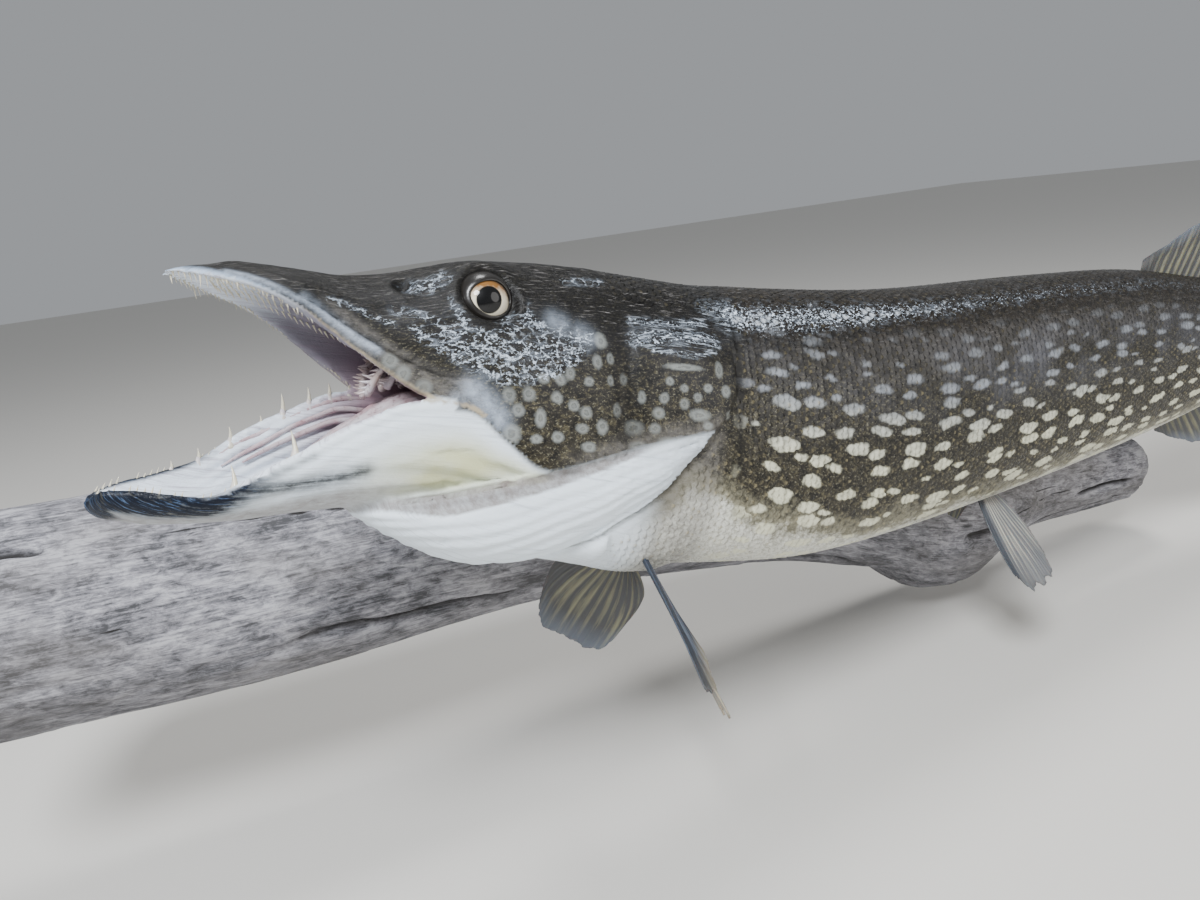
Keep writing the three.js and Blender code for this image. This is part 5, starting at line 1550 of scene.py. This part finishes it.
def tongue_shells():
    """The tongue with its folds, and the gums on the inner walls of the jaw."""
    points, quads = closed_loft(np.array([tongue_ring(s) for s in spread(40, 140, 1.0)]))
    s, b, c, _ = unplace(points)
    folds = 0.9 * np.cos(b * 1.1 + 1.2 * noise(points, 12, 5)) - 1.6 * bell(b + 3.5, 1.1) * ramp(s, 44, 52)
    rise = (folds + 0.8 * layered(points, 6, 4)) * ramp(c, curve(s, TONGUE_LOW), curve(s, TONGUE_TOP))
    yield points + frames(s)[3] * (rise - 0.6)[:, None], quads
    # three ridges of gum one below the other
    for side, rim_knots in JAW_SIDES:
        for row, (sunk, inset) in enumerate(((3.2, 4.2), (7.5, 6.0), (12.5, 7.4))):
            s = np.linspace(16 + 8 * row, 104, 60)
            wander = noise(np.stack([s, 0 * s + row * 9, 0 * s], -1), 16, 30 + row)
            low = np.maximum(curve(s, rim_knots) - sunk - 1.3 * wander, curve(s, JAW_FLOOR) + 0.4)
            path = place(s, side * (curve(s, JAW_WIDTH) - inset - 0.6 * wander), low)
            yield tube(path, 1.25 * np.sin(np.linspace(0.05, math.pi - 0.05, 60)) ** 0.5 + 0.1, 8)


def gill_shells(rng):
    """Four gill arches on each side, with a comb of rakers on each."""
    for side in (-1, 1):
        for k in range(4):
            t = np.linspace(0, 1, 22)
            s = 77 + 8.5 * k + 22 * t ** 1.5
            out = side * (3 + 16 * np.sin(t * math.pi * 0.62))
            height = curve(s, TONGUE_TOP) * (1 - t) + (4 + 26 * t) + 1.5 - k
            yield tube(place(s, out, height), 1.5 + 0.35 * np.sin(t * 17 + k), 8)
            for j in range(1, 21):
                root = place(s[j], out[j] - side * 0.6, height[j])
                tip = place(s[j] - rng.uniform(3.4, 5.4), out[j] - side * rng.uniform(1, 3),
                            height[j] + rng.normal(0, 0.8))
                yield spike(root, tip, rng.uniform(0.8, 1.35), 6)


def canine_shells(side, rim_knots, rng):
    """Large teeth of the lower jaw, each with the gum at its foot; the near side keeps two of them."""
    for at, length in CANINES:
        if side < 0 and at not in NEAR_CANINES:
            continue
        at = at + (-3 if side < 0 else 2)
        rim, inset = curve(at, rim_knots), side * (curve(at, JAW_WIDTH) - 2.6)
        size = length * (1.0 if side < 0 else rng.uniform(0.55, 0.85))
        root = place(at, inset, rim - 1)
        tip = place(at - 0.15 * size, inset - side * 0.3 * size, rim + size)
        back = place(at - 1, inset, rim) - place(at, inset, rim)
        foot = place(at, inset - side * 0.9, rim - 3.8)
        yield spike(root, tip, 0.75 + 0.06 * size, 7, back * -0.7), tube(
            np.linspace(foot, root + (tip - root) * 0.34, 6), TOOTH_FOOT * (0.7 + 0.04 * size), 10)


def jaw_shells(side, rim_knots, rng):
    """Small teeth along the rim of the lower jaw, with gaps."""
    for at in np.arange(-20, 78, 2.3):
        if rng.random() < 0.35 + 0.35 * (side < 0) * (at > 20):
            continue
        length, rim = rng.uniform(0.7, 2.0), curve(at, rim_knots)
        inset = side * (curve(at, JAW_WIDTH) - rng.uniform(1.2, 3.4))
        tip = place(at + 0.8, inset - side * 0.7, rim + length)
        yield spike(place(at, inset, rim - 1.4), tip, 0.5, 5)


def lip_shells(side, rng):
    """Small teeth along the edge of the upper lip."""
    for at in np.arange(3, 104, 1.7):
        edge, width = curve(at, LIP_EDGE), curve(at, LIP_WIDTH)
        length = rng.uniform(1.0, 2.8) * (1 if at < 50 else 0.35) + 2.4 * (10 < at < 14)
        inset = side * (width - rng.uniform(2.2, 3.4))
        tip = place(at + rng.uniform(0.2, 1.6), inset - side * 0.9, edge - length)
        yield spike(place(at, inset, edge + 1.2), tip, rng.uniform(0.35, 0.6), 5)


def palate_shells(side, rng):
    """Rows of small teeth on the roof of the mouth."""
    for out in (0.28, 0.45, 0.62, 0.8):
        for at in np.arange(14 + 8 * out, 92, 2.6):
            width = curve(at, LIP_WIDTH) - curve(at, LIP_THICK)
            roof = curve(at, LIP_EDGE) + (curve(at, PALATE) - curve(at, LIP_EDGE)) * math.sqrt(
                max(0.05, 1 - out ** 2.6))
            inset, length = side * width * (out + rng.normal(0, 0.02)), rng.uniform(1.2, 2.8)
            yield spike(place(at, inset, roof + 1), place(at + 1.8, inset, roof - length), 0.5, 5)


class PIKE_OT_mouth(bpy.types.Operator):
    """Fill the mouth: tongue, gill arches with rakers and all the teeth"""
    bl_idname = "pike.mouth"
    bl_label = "Mouth"

    def execute(self, context):
        sizes = context.scene.pike_mouth
        rng = np.random.default_rng(21)
        tongue = make_mesh("tongue_flesh", *join_shells(list(tongue_shells())))
        flesh = mouth_material("painted_tongue", sizes.tongue, sizes.gum, sizes.tongue_deep, 0.4)
        finished(tongue, flesh, "mouth", "tongue")
        gills = make_mesh("gill_arches", *join_shells(list(gill_shells(rng))))
        arch = mouth_material("painted_gill_arch", sizes.gill, sizes.gum, sizes.tongue_deep, 0.4)
        finished(gills, arch, "mouth")

        shells, gums = [], []
        for side, rim_knots in JAW_SIDES:
            for tooth, foot in canine_shells(side, rim_knots, rng):
                shells.append(tooth)
                gums.append(foot)
            shells.extend(jaw_shells(side, rim_knots, rng))
            shells.extend(lip_shells(side, rng))
            shells.extend(palate_shells(side, rng))
        teeth = make_mesh("teeth", *join_shells(shells))
        finished(teeth, mouth_material("ivory_tooth", sizes.tooth, sizes.tooth, sizes.gum, 0.5), "jaw")
        feet = make_mesh("tooth_gums", *join_shells(gums))
        finished(feet, mouth_material("painted_gum", sizes.gum, sizes.tooth, sizes.tongue, 0.5), "mouth")
        return {"FINISHED"}


class PIKE_OT_fins(bpy.types.Operator):
    """Spread the seven fins with their rays"""
    bl_idname = "pike.fins"
    bl_label = "Fins"

    def execute(self, context):
        sizes = context.scene.pike_fins
        dark = fin_material("dried_fin_dark", sizes.web, sizes.ray, sizes.tip, sizes.web)
        # the near breast fin's rays carry a painted steel-blue highlight
        blue = fin_material("dried_fin_blue", sizes.lead, sizes.lead_ray_highlight, sizes.frayed, sizes.lead)
        pale = fin_material("dried_fin_pale", sizes.pale_web, sizes.pale_ray, sizes.pale_web, sizes.lead)
        # finish, fraying, twist in degrees and bow of the near fins, unlike those of the others
        looks = {"pectoral_fin_left": (blue, 0.16, 3.4, 0.0), "pelvic_fin_left": (pale, 0.10, 0.0, 0.05)}
        for k, (name, fin) in enumerate(PAIRED_FINS.items()):
            material, fray, twist, bow = looks.get(name, (dark, 0.05, 0.0, 0.13))
            piece = fin_piece(f"{name}_rays", paired_lines(**fin), 13, 3.2, 0.9, fray, 1.3, 31 + k,
                              twist, bow)
            finished(piece, material, "fin", name)
        for k, (name, fin) in enumerate(MEDIAN_FINS.items()):
            piece = fin_piece(f"{name}_rays", median_lines(fin), 18, 3.6, 0.9, 0.07, 1.8, 41 + k)
            finished(piece, dark, "fin", name)
        piece = fin_piece("tail_fin_rays", tail_lines(), 24, 5.6, 0.9, 0.07, 1.8, 51)
        finished(piece, dark, "fin", "tail_fin")
        return {"FINISHED"}


class PIKE_OT_driftwood(bpy.types.Operator):
    """Carve the weathered driftwood log"""
    bl_idname = "pike.driftwood"
    bl_label = "Driftwood"

    def execute(self, context):
        rings, split = driftwood_points(620, 150)
        points, quads = closed_loft(rings)
        x = points[:, 0]
        middle = np.stack([0 * x, curve(x, LOG_DEPTH), curve(x, LOG_HEIGHT)], -1)
        wood = make_mesh("driftwood_log", points, quads,
                         {"Split": split.reshape(-1, 3), "Grain": points - middle})
        finished(wood, driftwood_material(context.scene.pike_wood), "driftwood", "driftwood")
        return {"FINISHED"}


def add_light(name, at, towards, size, power, colour):
    """Round soft light aimed at a point, with its diameter in metres and power in watts."""
    light = bpy.data.lights.new(name, "AREA")
    light.shape, light.size, light.energy, light.color = "DISK", size, power, colour
    obj = bpy.data.objects.new(name, light)
    obj.location = at
    obj.rotation_mode = "QUATERNION"
    obj.rotation_quaternion = (Vector(towards) - Vector(at)).to_track_quat("-Z", "Y")
    bpy.context.scene.collection.objects.link(obj)


# eye point in metres, and the directions of the picture
CAMERA_AT = (-0.220, -0.555, 0.200)
CAMERA_RIGHT = (0.92006, -0.37018, -0.12828)
CAMERA_UP = (0.21771, 0.21087, 0.95296)
CAMERA_BACK = (-0.32572, -0.90471, 0.27460)


class PIKE_OT_stage(bpy.types.Operator):
    """Set the floor, the soft lights and the camera"""
    bl_idname = "pike.stage"
    bl_label = "Stage"

    def execute(self, context):
        scene, sizes = context.scene, context.scene.pike_stage
        material, add = new_material("studio_floor")
        grain = add("TexNoise", {"Scale": 60.0, "Detail": 2.0})
        bump = add("Bump", {"Height": grain, "Strength": 0.04, "Distance": 0.001})
        surface(add, {"Base Color": sizes.floor, "Roughness": 0.9, "Normal": bump})
        # the floor lies 20 mm below the log and reaches 9 m each way
        low, wide = (CAD_BOX[0].z - 0.02) / MM, 9000
        corners = [(x, y, low) for x, y in ((-wide, -wide), (wide, -wide), (wide, wide), (-wide, wide))]
        floor = make_mesh("floor", corners, [(0, 1, 2, 3)])
        floor.data.materials.append(material)

        world = bpy.data.worlds.new("studio") if scene.world is None else scene.world
        scene.world = world
        world.use_nodes = True
        background = world.node_tree.nodes.get("Background")
        background.inputs["Color"].default_value = linear("#e9edf2")
        background.inputs["Strength"].default_value = 0.42
        add_light("window", (-0.9, -1.3, 1.5), (0.0, -0.15, 0.1), 0.7, 66, (0.93, 0.96, 1.0))
        add_light("fill", (1.4, -1.6, 0.6), (0.1, -0.15, 0.05), 1.4, 15, (1.0, 0.97, 0.94))
        add_light("top", (0.2, 0.1, 1.7), (0.0, -0.15, 0.1), 0.6, 16, (1.0, 1.0, 1.0))

        camera = bpy.data.cameras.new("camera")
        camera.sensor_fit, camera.sensor_width, camera.lens = "HORIZONTAL", 36.0, sizes.lens
        camera.clip_start, camera.clip_end = 0.01, 50.0
        obj = bpy.data.objects.new("camera", camera)
        matrix = Matrix([(*row, 0) for row in zip(CAMERA_RIGHT, CAMERA_UP, CAMERA_BACK)] + [(0, 0, 0, 1)])
        matrix.translation = Vector(CAMERA_AT)
        obj.matrix_world = matrix
        scene.collection.objects.link(obj)
        scene.camera = obj
        return {"FINISHED"}


OPERATORS = [PIKE_OT_skin, PIKE_OT_scales, PIKE_OT_eyes, PIKE_OT_mouth, PIKE_OT_fins, PIKE_OT_driftwood,
             PIKE_OT_stage]


class PIKE_PT_panel(bpy.types.Panel):
    """Sidebar panel with a button for each piece and its settings"""
    bl_idname = "PIKE_PT_panel"
    bl_label = "Mounted pike"
    bl_space_type = "VIEW_3D"
    bl_region_type = "UI"
    bl_category = "Pike"

    def draw(self, context):
        for operator in OPERATORS:
            self.layout.operator(operator.bl_idname)
        for key, group in GROUPS.items():
            box = self.layout.box()
            box.label(text=key.replace("_", " "))
            for name in group.__annotations__:
                box.prop(getattr(context.scene, key), name)


CLASSES = [*GROUPS.values(), *OPERATORS, PIKE_PT_panel]


def register():
    for cls in CLASSES:
        bpy.utils.register_class(cls)
    for key, group in GROUPS.items():
        setattr(bpy.types.Scene, key, PointerProperty(type=group))


def unregister():
    for key in GROUPS:
        delattr(bpy.types.Scene, key)
    for cls in reversed(CLASSES):
        bpy.utils.unregister_class(cls)


def main():
    register()
    bpy.ops.pike.skin()
    bpy.ops.pike.scales()
    bpy.ops.pike.eyes()
    bpy.ops.pike.mouth()
    bpy.ops.pike.fins()
    bpy.ops.pike.driftwood()
    bpy.ops.pike.stage()
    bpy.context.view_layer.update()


if __name__ == "__main__":
    main()
